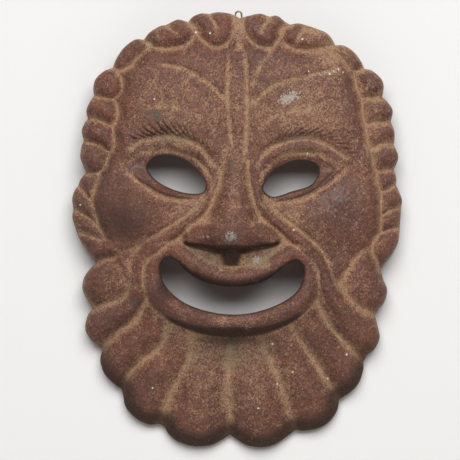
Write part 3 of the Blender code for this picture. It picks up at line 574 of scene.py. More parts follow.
class Carving:
    """The relief of the mask's front, by nearly the same strokes as the solid's, with finer work added."""

    def __init__(self) -> None:
        """Reads the outline and the edges of the openings as smooth closed curves."""
        runs = []
        for scallop, following in zip(SCALLOPS, SCALLOPS[1:] + SCALLOPS[:1]):
            runs.append(smooth_line(scallop + following[:1], FINE_STEP)[:-1])
        self.outline = np.vstack(runs)
        self.openings = [smooth_line(hole, FINE_STEP, closed=True) for hole in OPENINGS]
        self.basins = [smooth_line(basin, FINE_STEP, closed=True) for basin in EYE_BASINS]

    def edge_distance(self, x: np.ndarray, y: np.ndarray) -> np.ndarray:
        """Distance in from the outline at each place, 0 outside it."""
        gap, _, _ = nearest_on(x, y, self.outline, closed=True)
        return np.where(is_inside(x, y, self.outline), gap, 0.0)

    def base(self, x: np.ndarray, y: np.ndarray) -> np.ndarray:
        """The domed ground of the face with its soft masses."""
        across = (x - BASE_CENTRE[0]) / BASE_RADII[0]
        down = (y - BASE_CENTRE[1]) / BASE_RADII[1]
        dome = np.clip(1 - across ** 2 - down ** 2, 0, 1) ** BASE_ROUNDNESS
        return BASE_EDGE_HEIGHT + BASE_CROWN_HEIGHT * dome + piled(MOUNDS, x, y)

    def nose(self, x: np.ndarray, y: np.ndarray) -> np.ndarray:
        """The nose: a bridge that widens into a broad tip with flat wings, cut off below, over the septum."""
        bridge = softer_max(NOSE_BRIDGE.ridge(x, y), NOSE_WINGS.ridge(x, y), NOSE_BLEND) - NOSE_SINK
        floor = NOSE_FLOOR - NOSE_FLOOR_LIFT * ((x - NOSE_TIP.centre[0]) / NOSE_HALF_WIDTH) ** 2
        above_floor = ease((floor - y) / NOSE_UNDERSIDE)
        return np.maximum((np.clip(bridge, 0, None) + NOSE_TIP.rise(x, y)) * above_floor, SEPTUM.ridge(x, y))

    def lips(self, x: np.ndarray, y: np.ndarray) -> np.ndarray:
        """The rolled lip round the mouth, heavier below."""
        gap, _, _ = nearest_on(x, y, smooth_line(LIP_RING, closed=True), closed=True)
        lower = ease((y - LIP_MIDDLE) / LIP_SPAN)
        width = LIP_WIDTHS[0] + (LIP_WIDTHS[1] - LIP_WIDTHS[0]) * lower
        height = LIP_HEIGHTS[0] + (LIP_HEIGHTS[1] - LIP_HEIGHTS[0]) * lower
        return height * np.clip(1 - (gap / width) ** 2, 0, 1) ** LIP_ROUNDNESS

    def lobe_depth(self, x: np.ndarray, y: np.ndarray) -> np.ndarray:
        """How far the creases between the locks and the lobes of the beard cut in."""
        depth = PARTING.valley(x, y, PARTING_HALF_WIDTH)
        for stroke in LOCK_CREASES + LOCK_SPLITS:
            depth = np.maximum(depth, stroke.valley(x, y))
        for stroke in BEARD_CREASES:
            depth = np.maximum(depth, stroke.valley(x, y, BEARD_CREASE_FLOOR))
        return depth

    def basin_depth(self, x: np.ndarray, y: np.ndarray) -> np.ndarray:
        """How far the almond round each eye hole is sunk: a small step, then a slope to the hole."""
        depth = np.zeros(x.shape)
        for basin in self.basins:
            gap, _, _ = nearest_on(x, y, basin, closed=True)
            inward = np.where(is_inside(x, y, basin), gap, 0)
            depth += (BASIN_STEP * ease(inward / BASIN_STEP_WIDTH)
                      + BASIN_DEPTH * (1 - np.exp(-inward / BASIN_SLOPE)))
        return depth

    def brow_work(self, x: np.ndarray, y: np.ndarray) -> tuple[np.ndarray, np.ndarray]:
        """The carved hairs of both brows.

        Args:
            x: Sheet places, across.
            y: Sheet places, down.

        Returns:
            How high the hairs stand, and how deep the cuts between them are.
        """
        ridges, cuts = np.zeros(x.shape), np.zeros(x.shape)
        for brow in BROWS:
            for ridge, cut in brow.hairs():
                ridges = np.maximum(ridges, ridge.ridge(x, y))
                cuts = np.maximum(cuts, cut.crease(x, y))
        return ridges, cuts

    def fine_work(self, x: np.ndarray, y: np.ndarray, inward: np.ndarray) -> np.ndarray:
        """Brow hairs, scratches and the unevenness of hand work and sand.

        Args:
            x: Sheet places, across.
            y: Sheet places, down.
            inward: Distance in from the outline; the fine work fades out towards it.

        Returns:
            Heights in units, above or below the main relief.
        """
        height = sum(part.height(x, y) for part in UNEVENNESS) - self.basin_depth(x, y)
        ridges, cuts = self.brow_work(x, y)
        height = height + ridges - cuts
        for scratch in SCRATCHES:
            height = height - scratch.crease(x, y)
        return height * ease(inward / FINE_WORK_FADE)

    def relief(self, x: np.ndarray, y: np.ndarray) -> np.ndarray:
        """Height of the finished front over the wall, in units.

        Args:
            x: Sheet places, across.
            y: Sheet places, down.

        Returns:
            The height at each place.
        """
        height = self.base(x, y) + self.nose(x, y) + self.lips(x, y) - self.lobe_depth(x, y)
        height += sum(stroke.ridge(x, y) for stroke in RIDGES)
        height -= sum(stroke.crease(x, y) for stroke in CREASES)
        inward = self.edge_distance(x, y)
        lower = ease((y - ROUNDING_TOP) / ROUNDING_SPAN)
        rise = np.clip(inward / (ROUNDING_HAIR + (ROUNDING_BEARD - ROUNDING_HAIR) * lower), 0, 1)
        height = EDGE_HEIGHT + (height - EDGE_HEIGHT) * np.sqrt(1 - (1 - rise) ** 2)
        return height + self.fine_work(x, y, inward)


# Colour regions
# Tan dust. The right-hand locks, forehead and cheek get more than the left, so that side is lighter; some
# rows add painted light on the left upper lid and painted sheen beside the right eye
TAN_REGIONS = mounds(
    ((180, 95), (90, 66), 0.34),
    ((300, 98), (90, 66), 0.52),
    ((236, 110), (34, 100), 0.25),
    ((232, 190), (30, 50), 0.60),
    # Tan, with painted light where the brow shades the left upper lid
    ((172, 147), (48, 17), 0.85),
    ((296, 149), (46, 15), 0.42),
    ((232, 320), (66, 9), 0.80),
    ((205, 215), (30, 40), 0.30, -20),
    ((262, 215), (30, 40), 0.40, 20),
    ((184, 212), (42, 22), 0.28, -30),
    ((292, 212), (52, 26), 0.45, 30),
    ((160, 200), (42, 12), 0.20, 25),
    ((310, 198), (42, 12), 0.35, -25),
    ((230, 265), (75, 13), 0.55),
    ((192, 31), (8, 10), 0.90),
    ((262, 31), (24, 20), 0.50),
    ((262, 263), (18, 9), 0.9),
    # Painted sheen beside the right eye
    ((328, 171), (9, 9), 0.5),
    ((128, 215), (40, 34), -0.25),
    ((180, 370), (12, 34), -0.35, 15),
    ((118, 95), (14, 20), -0.8, 30),
    # Tan, with painted light where the brow shades the left upper lid
    ((173, 152), (36, 5), 0.5),
    ((160, 232), (26, 9), -0.4, -38),
    ((98, 145), (14, 10), -0.3),
    ((232, 375), (130, 75), 0.42),
    ((112, 285), (40, 30), 0.18),
    ((352, 285), (40, 34), 0.30),
    ((104, 125), (16, 70), -0.20),
    ((374, 130), (24, 90), 0.75),
    ((330, 50), (60, 30), 0.85, 35),
)
OLIVE_REGIONS = mounds(
    ((232, 348), (95, 26), 0.9),
    ((202, 256), (36, 17), 1.1, 20),
    ((262, 257), (34, 16), 0.9, -20),
    ((166, 328), (50, 26), 0.5, -25),
    ((330, 320), (26, 40), 0.5, -35),
    ((100, 150), (16, 70), 0.6),
    ((175, 140), (50, 9), 0.7),
    ((296, 142), (50, 9), 0.6),
    ((240, 385), (40, 60), 0.45),
    ((125, 90), (30, 30), 0.5),
)
POLISHED_REGIONS = mounds(
    ((124, 222), (46, 40), 0.4),
    ((342, 208), (46, 40), 0.8),
    ((232, 230), (34, 18), 0.4),
    ((232, 235), (7, 6), 1),
    ((139, 168), (12, 12), 0.8),
    ((328, 171), (12, 12), 0.8),
)
# Painted shade: dark strokes under the lower lip, under the upper lip and along the mouth's upper edge, under
# the nose wings, on the septum, and in the creases under the eyes
PAINTED_SHADE_STROKES = strokes(
    (((158, 309), (176, 321), (204, 329.5), (232, 331.5), (262, 329.5), (289, 320), (309, 306)),
      (3, 5.5, 8.2, 5.5, 3), (0.8, 1.2, 1.6, 1.2, 0.8)),
    (((186, 269), (203, 277.5), (222, 282), (244, 282), (263, 277.5), (279, 268)), (7,), (0.85,)),
    (((181, 241), (192, 245), (208, 248), (226, 250.5)), (2.5, 4.5, 6, 7), (0.8, 1.2, 1.2, 1.2)),
    (((282, 241), (272, 245), (256, 248), (236, 250.5)), (2.5, 4, 5.5, 7), (0.8, 1.2, 1.2, 1.2)),
    (((231, 243), (230.5, 267)), (17, 13), (1.35, 1)),
    (((172, 257), (187, 270), (203, 280.3), (222, 285.3), (244, 285.3), (263, 280.8), (278, 270.6),
      (293, 260)), (4.2,), (1.5,)),
    (((134, 175), (154, 188), (172, 195.5), (198, 199.8)), (2.8,), (0.7,)),
    (((336, 170), (314, 188.5), (297, 197), (270, 202)), (2.8,), (0.7,)),
)
# Painted shade: darker under the nose, on the lower cheeks, by the left corner of the mouth and under the
# lower lip
PAINTED_SHADE_REGIONS = mounds(
    ((232, 250), (52, 10), 0.5),
    ((126, 220), (60, 50), 0.62),
    ((345, 222), (40, 34), 0.2),
    ((163, 290), (18, 28), 0.8),
    ((200, 318), (40, 12), 0.25, 20),
    ((232, 338), (64, 13), 0.7),
)
# Painted shade: a dark line round the edges of the holes
HOLE_EDGE_SHADE = 1.0
HOLE_EDGE_WIDTH = 2.6
RIM_SHADE = 1.1
RIM_SHADE_WIDTH = 24.0
RIM_SHADE_TOP = 305.0
RIM_SHADE_SPAN = 90.0
# Pale patches, and painted highlights on the nose and painted sheen on the right cheek
PALE_PATCHES_AND_HIGHLIGHTS = mounds(
    ((290, 97), (16, 9), 1, -18),
    ((284, 102), (18, 6), 0.8, -12),
    ((256, 260), (8, 7), 0.9),
    ((248, 326), (6, 4), 0.6),
    ((318, 76), (22, 3), 0.7, -16),
    ((151, 44), (5, 3), 1, 40),
    # Painted highlights: the nose tip and a line along each nose wing
    ((231, 237), (13, 9), 1),
    ((204, 237.5), (13, 1.6), 0.7),
    ((262, 240), (9, 1.5), 0.5, 25),
    # Pale specks, with painted sheen, on the right cheek
    ((343, 200), (26, 22), 0.1),
)
DARK_PATCHES = mounds(
    ((152, 113), (15, 5), 0.9),
    ((158, 118), (6, 9), 0.9),
    ((162, 79), (6, 3), 0.7, 30),
    ((232, 166), (4, 9), 0.8),
    ((136, 302), (11, 9), 0.8),
)
WHITE_SPECKS = (
    (196, 33), (210, 34), (155, 100), (302, 40), (307, 154), (272, 343), (292, 371), (346, 354), (327, 378),
    (258, 407), (81, 205), (277, 383), (153, 387), (293, 230), (333, 72), (338, 70.5), (342, 73), (329, 75),
    (308, 72),
)
SPECK_RADIUS = 1.7
SUNK_CLEAN = 0.5
SUNK_TOP = 158.0
SUNK_SPAN = 16.0
MOST_DUST = 0.95

# How the films gather: over what reach of the mesh a place counts as sunk or raised, and what that adds
NARROW_ROUNDS = 14
NARROW_DEPTH = 0.9
WIDE_ROUNDS = 90
WIDE_DEPTH = 3.0
HOLE_CLEAN_WIDTH = 3.5
DUST_GROUND = 0.18
DUST_IN_NARROW = 0.3
DUST_IN_WIDE = 0.35
DUST_RUBBED_OFF = 0.45
DUST_ON_HAIRS = 0.18
DUST_ROUNDS = 2
DUSTY_BANDS = (
    (LOCK_CREASES, 5.4, 0.75), (LOCK_SPLITS, 5.0, 0.6), ((PARTING,), 7.5, 0.5), (BEARD_CREASES, 16.0, 0.17),
    (CREASES, 4.6, 0.65),
)
# The share of that painted shade left at the holes' edges high up round the eyes
UPPER_RIM_SHADE = 0.5
# Painted shade in the cuts between the brow hairs
CUT_SHADE = 0.36
# Painted shade on surfaces that face down, from this much downward tilt on
UNDERSIDE_GAIN = 1.5
UNDERSIDE_START = 0.8
RAISED_POLISH = 0.2
MOST_FILM = 1.2
BACK_FILM = 0.12


# Shading tools
def srgb(red: int, green: int, blue: int) -> tuple[float, float, float, float]:
    """A colour picked as 0 to 255 screen values.

    Args:
        red: Screen red.
        green: Screen green.
        blue: Screen blue.

    Returns:
        The linear colour, opaque.
    """
    shares = (red / 255, green / 255, blue / 255)
    return (*(v / 12.92 if v <= 0.04045 else ((v + 0.055) / 1.055) ** 2.4 for v in shares), 1.0)


class Value:
    """A number that varies over a surface, so that shader maths reads as plain expressions."""

    def __init__(self, graph: "Graph", socket: bpy.types.NodeSocket) -> None:
        """Wraps an output socket of the graph."""
        self.graph = graph
        self.socket = socket

    def maths(self, operation: str, other: "Value | float", swapped: bool = False) -> "Value":
        """A Math node on this value and another.

        Args:
            operation: The Math node's operation.
            other: The other value.
            swapped: Whether the other stands first.

        Returns:
            The node's result.
        """
        row = (other, self) if swapped else (self, other)
        return self.graph.node("ShaderNodeMath", {"operation": operation}, dict(enumerate(row)))

    def __add__(self, other: "Value | float") -> "Value":
        """This plus the other."""
        return self.maths("ADD", other)

    def __sub__(self, other: "Value | float") -> "Value":
        """This less the other."""
        return self.maths("SUBTRACT", other)

    def __rsub__(self, other: float) -> "Value":
        """The other less this."""
        return self.maths("SUBTRACT", other, swapped=True)

    def __mul__(self, other: "Value | float") -> "Value":
        """This times the other."""
        return self.maths("MULTIPLY", other)

    def __rmul__(self, other: float) -> "Value":
        """The other times this."""
        return self.maths("MULTIPLY", other)

    def step(self, low: float, high: float) -> "Value":
        """A smooth step from 0 at low to 1 at high, or down where low is above high."""
        return self.graph.node("ShaderNodeMapRange", {"interpolation_type": "SMOOTHSTEP"},
                               {"Value": self, "From Min": low, "From Max": high})


class Graph:
    """The node tree of one material and the calls that add to it."""

    def __init__(self, name: str) -> None:
        """Starts a material of the given name with a Principled shader."""
        self.material = bpy.data.materials.new(name)
        self.material.use_nodes = True
        self.tree = self.material.node_tree
        self.shader = self.tree.nodes["Principled BSDF"]
        self.place = self.node("ShaderNodeTexCoord", output="Object")

    def node(self, kind: str, settings: dict | None = None, inputs: dict | None = None,
             output: str | int = 0) -> Value:
        """Adds any node.

        Args:
            kind: The node's type.
            settings: Its own settings, which are set first.
            inputs: Values or links for its sockets, by name or number.
            output: Which output to return.

        Returns:
            The chosen output.
        """
        made = self.tree.nodes.new(kind)
        for name, value in (settings or {}).items():
            setattr(made, name, value)
        for name, value in (inputs or {}).items():
            self.feed(made.inputs[name], value)
        return Value(self, made.outputs[output])

    def feed(self, socket: bpy.types.NodeSocket, value: "Value | float | tuple") -> None:
        """Links a value to a socket, or sets it there."""
        if isinstance(value, Value):
            self.tree.links.new(value.socket, socket)
        else:
            socket.default_value = value

    def noise(self, size: float, detail: float, roughness: float) -> Value:
        """Even noise, 0 to 1.

        Args:
            size: The size of its blots in metres.
            detail: How many finer layers it has.
            roughness: How strong those are.

        Returns:
            The noise.
        """
        return self.node("ShaderNodeTexNoise", {"noise_dimensions": "3D"}, {
            "Vector": self.place, "Scale": 1 / size, "Detail": detail, "Roughness": roughness})

    def grains(self, size: float) -> Value:
        """Separate grains, each with a number of its own about 0.5, of the given size in metres."""
        return self.node("ShaderNodeTexVoronoi", {"feature": "F1"}, {"Vector": self.place, "Scale": 1 / size},
                         output="Color")

    def attribute(self, name: str) -> Value:
        """A number kept at each vertex of the mesh."""
        return self.node("ShaderNodeAttribute", {"attribute_name": name}, output="Fac")

    def mix(self, share: Value, *colours: Value | Screen) -> Value:
        """A blend of two colours.

        Args:
            share: How much of the second shows.
            colours: The colour at 0 and the colour at 1.

        Returns:
            The blended colour.
        """
        first, second = (colour if isinstance(colour, Value) else srgb(*colour) for colour in colours)
        return self.node("ShaderNodeMix", {"data_type": "RGBA"}, {0: share, 6: first, 7: second}, output=2)

    def bump(self, height: Value, strength: float, distance: float) -> Value:
        """A surface normal from a height.

        Args:
            height: The height, 0 to 1.
            strength: How much of it shows.
            distance: The real height of 1, in metres.

        Returns:
            The normal.
        """
        return self.node("ShaderNodeBump", {}, {"Strength": strength, "Distance": distance, "Height": height})

    def finish(self, **inputs: "Value | float | tuple") -> bpy.types.Material:
        """Feeds the Principled shader.

        Args:
            inputs: Its sockets by name, with _ for a space.

        Returns:
            The finished material.
        """
        for name, value in inputs.items():
            self.feed(self.shader.inputs[name.replace("_", " ")], value)
        return self.material


class Film(Enum):
    """What lies on the iron, with the painted shade and painted highlights, each kept at the vertices under
    its own name.
    """

    DUST = "dust"
    OLIVE = "olive"
    POLISH = "polish"
    PALE_AND_HIGHLIGHT = "pale"
    GREY = "grey"
    SPECK = "speck"
    PAINTED_SHADE = "painted_shade"


@dataclass(frozen=True)
class RustedIron:
    """Cast iron with an old skin of rust: plum and red-brown, tan specks, ochre dust in the creases, and
    painted shade and highlights.
    """

    plum: Screen = (110, 72, 60)
    umber: Screen = (82, 53, 43)
    worn: Screen = (88, 60, 51)
    red: Screen = (129, 74, 53)
    tan: Screen = (145, 108, 92)
    ochre: Screen = (167, 130, 98)
    sand: Screen = (184, 150, 114)
    olive: Screen = (136, 119, 94)
    pale: Screen = (184, 177, 168)
    slate: Screen = (80, 76, 70)
    white: Screen = (235, 232, 222)
    painted_shade: Screen = (40, 24, 17)

    def make(self) -> bpy.types.Material:
        """Builds the material."""
        g = Graph("rusted_cast_iron")
        film = {kind: g.attribute(kind.value) for kind in Film}
        grit = 0.6 * g.grains(0.0008) + 0.2 * g.noise(0.0016, 2.0, 0.6) + 0.2 * g.noise(0.0007, 1.0, 0.5)
        blots = g.noise(0.008, 2.0, 0.55)
        clouds = g.noise(0.05, 3.0, 0.55)
        tint = 0.55 * g.grains(0.0013) + 0.45 * blots
        body = g.mix(tint.step(0.42, 0.62), self.plum, self.umber)
        rusty = (0.3 * g.grains(0.0011) + 0.3 * g.noise(0.004, 2.0, 0.6) + 0.4 * clouds).step(0.46, 0.6)
        body = g.mix(rusty * 0.7, body, self.red)
        body = g.mix(film[Film.POLISH].step(0.1, 1.0) * 0.6, body, self.worn)
        amount = film[Film.DUST] + 0.9 * (blots - 0.5) + 0.7 * (clouds - 0.5)
        cover = (grit + 0.4 * (amount - 0.5)).step(0.41, 0.59)
        dirt = g.mix(tint.step(0.4, 0.62), self.tan, self.ochre)
        dirt = g.mix((film[Film.DUST] + 1.5 * (grit - 0.5)).step(0.6, 1.2) * 0.65, dirt, self.sand)
        dirt = g.mix((film[Film.OLIVE] + 0.8 * (blots - 0.5)).step(0.2, 0.9) * 0.8, dirt, self.olive)
        body = g.mix(cover * 0.95, body, dirt)
        # Painted shade: near-black brown under things, in creases and cuts, and at the holes' edges.
        body = g.mix((film[Film.PAINTED_SHADE] + 0.35 * (blots - 0.5)).step(0.1, 0.9) * 0.85, body, self.painted_shade)
        body = g.mix((film[Film.GREY] + 1.2 * (grit - 0.5)).step(0.25, 0.7) * 0.7, body, self.slate)
        # Pale patches, and painted highlights on the nose and right cheek
        body = g.mix((film[Film.PALE_AND_HIGHLIGHT] + 1.8 * (grit - 0.5)).step(0.35, 0.95) * 0.7, body, self.pale)
        pits = g.grains(0.0011).step(0.37, 0.27) * (0.8 - 0.6 * film[Film.DUST])
        body = g.mix(pits, body, self.umber)
        body = g.mix(film[Film.SPECK].step(0.25, 0.6), body, self.white)
        rough = 0.72 - 0.34 * film[Film.POLISH] + 0.3 * (grit - 0.5) + 0.12 * cover + 0.2 * film[Film.PAINTED_SHADE]
        return g.finish(Base_Color=body, Roughness=rough, Specular_IOR_Level=0.5, Coat_Roughness=0.5,
                        Coat_Weight=film[Film.POLISH] * 0.15, Normal=g.bump(grit, 0.5, 0.0006))


@dataclass(frozen=True)
class DullBrass:
    """Brass wire gone olive, with bright places where it has rubbed."""

    dull: Screen = (98, 86, 48)
    bright: Screen = (168, 142, 88)

    def make(self) -> bpy.types.Material:
        """Builds the material."""
        g = Graph("dull_brass")
        worn = g.noise(0.0011, 2.0, 0.6)
        tarnish = worn.step(0.42, 0.62)
        colour = g.mix(tarnish, self.dull, self.bright)
        return g.finish(Base_Color=colour, Roughness=0.52 - 0.2 * tarnish, Metallic=0.85,
                        Normal=g.bump(worn, 0.3, 0.0002))


@dataclass(frozen=True)
class Plaster:
    """The pale wall and floor of the studio, seen from their front only."""

    colour: Screen = (244, 243, 241)

    def make(self) -> bpy.types.Material:
        """Builds the material; light and sight pass through it from behind."""
        g = Graph("studio_plaster")
        material = g.finish(Base_Color=srgb(*self.colour), Roughness=0.9)
        facing_away = g.node("ShaderNodeNewGeometry", output="Backfacing")
        clear = g.node("ShaderNodeBsdfTransparent")
        solid = Value(g, g.shader.outputs[0])
        mixed = g.node("ShaderNodeMixShader", {}, {0: facing_away, 1: solid, 2: clear})
        g.feed(g.tree.nodes["Material Output"].inputs["Surface"], mixed)
        return material


# Pieces
def blurred(values: np.ndarray, pairs: np.ndarray, rounds: int) -> np.ndarray:
    """Values evened out over a mesh.

    Args:
        values: One number for each vertex.
        pairs: The vertex numbers of each edge.
        rounds: How many times each vertex moves half way to its neighbours' mean.

    Returns:
        The evened numbers.
    """
    count = np.maximum(np.bincount(pairs.ravel(), minlength=len(values)), 1)
    for _ in range(rounds):
        total = np.bincount(pairs[:, 0], values[pairs[:, 1]], len(values))
        total += np.bincount(pairs[:, 1], values[pairs[:, 0]], len(values))
        values = 0.5 * values + 0.5 * total / count
    return values


def to_sheet(places: np.ndarray) -> tuple[np.ndarray, np.ndarray]:
    """Sheet places of points in space."""
    return places[:, 0] / UNIT + TOP_CENTRE[0], TOP_CENTRE[1] - (places[:, 2] + LOOP_ABOVE_IRON) / UNIT


def column(items: bpy.types.bpy_prop_collection, name: str, width: int,
           kind: type = np.float32) -> np.ndarray:
    """One property of each vertex or edge.

    Args:
        items: The vertices or edges.
        name: The property's name.
        width: How many numbers it has.
        kind: Their kind.

    Returns:
        The property, one row to each.
    """
    values = np.zeros(len(items) * width, kind)
    items.foreach_get(name, values)
    return values.reshape(-1, width)


def placed(name: str, data: bpy.types.ID) -> bpy.types.Object:
    """A new object in the scene, for a mesh, a light or a camera."""
    made = bpy.data.objects.new(name, data)
    bpy.context.scene.collection.objects.link(made)
    return made


class Side(Enum):
    """Which side of the casting a face belongs to."""

    FRONT = "front"
    WALL = "wall"
    BACK = "back"
    HARDWARE = "hardware"


@dataclass
class MaskCasting:
    """The iron casting: the solid's mesh made dense, with smooth edges, carved front and cast back."""

    carving: Carving
    front_cuts: int = 4
    back_cuts: int = 1
    back_smoothing: int = 4
    edge_reach: float = 0.9
    brow_reach: float = 13.0
    flat_normal: float = 0.01
    front_start: float = 0.95 * EDGE
    brow_start: float = 2 * EDGE
    hollow_start: float = 0.1 * EDGE
    hardware_depth: float = 0.7 * EDGE
    hardware_margin: float = 1.5
    sharp_angle: float = 55.0

    def side_of(self, face: bmesh.types.BMFace) -> Side:
        """Which side of the casting a face is on."""
        centre = face.calc_center_median()
        if face.normal.y < -self.flat_normal and centre.y < -self.front_start:
            return Side.FRONT
        if all(abs(v.co.x) < HARDWARE_HALF_WIDTH and v.co.z > -HARDWARE_DROP for v in face.verts):
            return Side.HARDWARE
        return Side.WALL if abs(face.normal.y) < self.flat_normal else Side.BACK

    @staticmethod
    def cut(bm: bmesh.types.BMesh, edges: set[bmesh.types.BMEdge], cuts: int) -> None:
        """Cuts edges into equal parts, and the faces beside them into triangles."""
        bmesh.ops.subdivide_edges(bm, edges=list(edges), cuts=cuts, use_grid_fill=True)
        bmesh.ops.triangulate(bm, faces=[face for face in bm.faces if len(face.verts) > 3])

    def dense_mesh(self) -> bpy.types.Mesh:
        """The solid's mesh, cut into small triangles, with its hollow back evened out."""
        bm = bmesh.new()
        bm.from_mesh(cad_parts["mask_casting"].data)
        bmesh.ops.remove_doubles(bm, verts=bm.verts, dist=1e-6)
        for sides, cuts in (({Side.BACK}, self.back_cuts), ({Side.FRONT, Side.WALL}, self.front_cuts)):
            bm.normal_update()
            chosen = {edge for face in bm.faces if self.side_of(face) in sides for edge in face.edges}
            if Side.BACK in sides:
                chosen = {edge for edge in chosen
                          if all(self.side_of(face) in sides for face in edge.link_faces)}
            self.cut(bm, chosen, cuts)
        x, y = to_sheet(np.array([vert.co for vert in bm.verts]))
        gap = np.min([nearest_on(x, y, smooth_line(brow.spine))[0] for brow in BROWS], 0)
        bm.verts.ensure_lookup_table()
        close = {bm.verts[i] for i in np.flatnonzero(gap < self.brow_reach)}
        self.cut(bm, {edge for vert in close for edge in vert.link_edges if vert.co.y < -self.brow_start
                      and all(self.side_of(face) is Side.FRONT for face in edge.link_faces)}, 1)
        bm.normal_update()
        wide, deep = self.hardware_margin * HARDWARE_HALF_WIDTH, self.hardware_margin * HARDWARE_DROP
        loose = [vert for vert in bm.verts if vert.co.y < -self.hollow_start
                 and (abs(vert.co.x) > wide or vert.co.z < -deep)
                 and all(self.side_of(face) is Side.BACK for face in vert.link_faces)]
        for _ in range(self.back_smoothing):
            bmesh.ops.smooth_vert(bm, verts=loose, factor=0.5,
                                  use_axis_x=True, use_axis_y=True, use_axis_z=True)
        mesh = bpy.data.meshes.new("iron_mask")
        bm.to_mesh(mesh)
        bm.free()
        return mesh

    def sides(self, mesh: bpy.types.Mesh) -> tuple[np.ndarray, np.ndarray]:
        """Which vertices are on the front, and which on its edges or the walls.

        Args:
            mesh: The dense mesh.

        Returns:
            Two rows of yes or no, one for each vertex.
        """
        bm = bmesh.new()
        bm.from_mesh(mesh)
        bm.normal_update()
        kinds = [{self.side_of(face) for face in vert.link_faces} for vert in bm.verts]
        bm.free()
        front = np.array([Side.FRONT in kind for kind in kinds])
        edges = np.array([Side.WALL in kind or (Side.FRONT in kind and len(kind) > 1) for kind in kinds])
        return front, edges

    def films(self, mesh: bpy.types.Mesh, front: np.ndarray, heights: np.ndarray,
              x: np.ndarray, y: np.ndarray) -> dict[Film, np.ndarray]:
        """What lies on the iron, and the painted shade and highlights, worked out from the creases, the
        hollows, the regions of the face and the way the surface faces.

        Args:
            mesh: The carved mesh.
            front: Which vertices are on the front.
            heights: The relief's height at each vertex.
            x: Sheet places, across.
            y: Sheet places, down.

        Returns:
            An amount for each vertex for each kind.
        """
        pairs = column(mesh.edges, "vertices", 2, np.int32)
        pairs = pairs[front[pairs].all(1)]
        narrow = np.clip((blurred(heights, pairs, NARROW_ROUNDS) - heights) / NARROW_DEPTH, -1, 1)
        wide = np.clip((blurred(heights, pairs, WIDE_ROUNDS) - heights) / WIDE_DEPTH, -1, 1)
        from_hole = np.min([nearest_on(x, y, loop, closed=True)[0] for loop in self.carving.openings], 0)
        lower_face = ease((y - SUNK_TOP) / SUNK_SPAN)
        ridges, cuts = self.carving.brow_work(x, y)
        polish = piled(POLISHED_REGIONS, x, y)
        # The tan regions add dust, and painted light on the left upper lid and beside the right eye
        dust = DUST_GROUND + DUST_IN_NARROW * narrow + DUST_IN_WIDE * wide + piled(TAN_REGIONS, x, y)
        dust = dust - DUST_RUBBED_OFF * polish
        for group, width, amount in DUSTY_BANDS:
            dust = dust + amount * np.max([stroke.band(x, y, width) for stroke in group], 0)
        sunk = ease(self.carving.basin_depth(x, y) / BASIN_DEPTH) * lower_face
        dust = dust + DUST_ON_HAIRS * ridges - SUNK_CLEAN * sunk
        dust = np.clip(dust * ease(from_hole / HOLE_CLEAN_WIDTH), 0, MOST_DUST)
        # Painted shade: under things, at the holes' edges, along the lower rim, on faces that turn down, and
        # in the brow cuts
        painted_shade = np.max([stroke.crease(x, y) for stroke in PAINTED_SHADE_STROKES], 0)
        painted_shade = np.maximum(painted_shade, piled(PAINTED_SHADE_REGIONS, x, y))
        rim = ease(1 - from_hole / HOLE_EDGE_WIDTH) * (UPPER_RIM_SHADE + (1 - UPPER_RIM_SHADE) * lower_face)
        painted_shade = np.maximum(painted_shade, HOLE_EDGE_SHADE * rim)
        inward = self.carving.edge_distance(x, y)
        painted_shade = painted_shade + (RIM_SHADE * ease(1 - inward / RIM_SHADE_WIDTH)
                       * ease((y - RIM_SHADE_TOP) / RIM_SHADE_SPAN))
        # Painted shade where the surface faces down
        down = -column(mesh.vertices, "normal", 3)[:, 2]
        painted_shade = np.maximum(painted_shade, np.clip(UNDERSIDE_GAIN * down - UNDERSIDE_START, 0, 1))
        made = {
            Film.DUST: blurred(dust, pairs, DUST_ROUNDS),
            Film.OLIVE: piled(OLIVE_REGIONS, x, y),
            Film.POLISH: np.clip(-RAISED_POLISH * narrow, 0, 1) + polish,
            Film.PALE_AND_HIGHLIGHT: piled(PALE_PATCHES_AND_HIGHLIGHTS, x, y),
            Film.GREY: piled(DARK_PATCHES, x, y),
            Film.SPECK: np.max([np.clip(1 - np.hypot(x - sx, y - sy) / SPECK_RADIUS, 0, 1)
                                for sx, sy in WHITE_SPECKS], 0),
            Film.PAINTED_SHADE: painted_shade + CUT_SHADE * cuts,
        }
        return {kind: np.where(front, np.clip(amount, 0, MOST_FILM), BACK_FILM)
                for kind, amount in made.items()}

    def make(self, iron: bpy.types.Material) -> bpy.types.Object:
        """Builds the dressed casting.

        Args:
            iron: Its material.

        Returns:
            The new piece, in place.
        """
        mesh = self.dense_mesh()
        front, edges = self.sides(mesh)
        places = column(mesh.vertices, "co", 3).astype(float)
        x, y = to_sheet(places)
        fixed = (np.abs(places[:, 0]) < HARDWARE_HALF_WIDTH) & (places[:, 1] > -self.hardware_depth)
        for loop in [self.carving.outline] + self.carving.openings:
            chosen = np.flatnonzero(edges & ~fixed)
            gap, _, nearest = nearest_on(x[chosen], y[chosen], loop, closed=True)
            near = gap < self.edge_reach
            x[chosen[near]], y[chosen[near]] = nearest[near].T
        heights = np.zeros(len(places))
        heights[front] = self.carving.relief(x[front], y[front])
        places[:, 0] = (x - TOP_CENTRE[0]) * UNIT
        places[:, 2] = (TOP_CENTRE[1] - y) * UNIT - LOOP_ABOVE_IRON
        places[front, 1] = -heights[front] * DEPTH_UNIT
        mesh.vertices.foreach_set("co", places.astype(np.float32).ravel())
        mesh.update()
        for kind, amount in self.films(mesh, front, heights, x, y).items():
            layer = mesh.attributes.new(kind.value, "FLOAT", "POINT")
            layer.data.foreach_set("value", amount.astype(np.float32))
        mesh.shade_smooth()
        mesh.set_sharp_from_angle(angle=math.radians(self.sharp_angle))
        mesh.materials.clear()
        mesh.materials.append(iron)
        return placed("iron_mask", mesh)


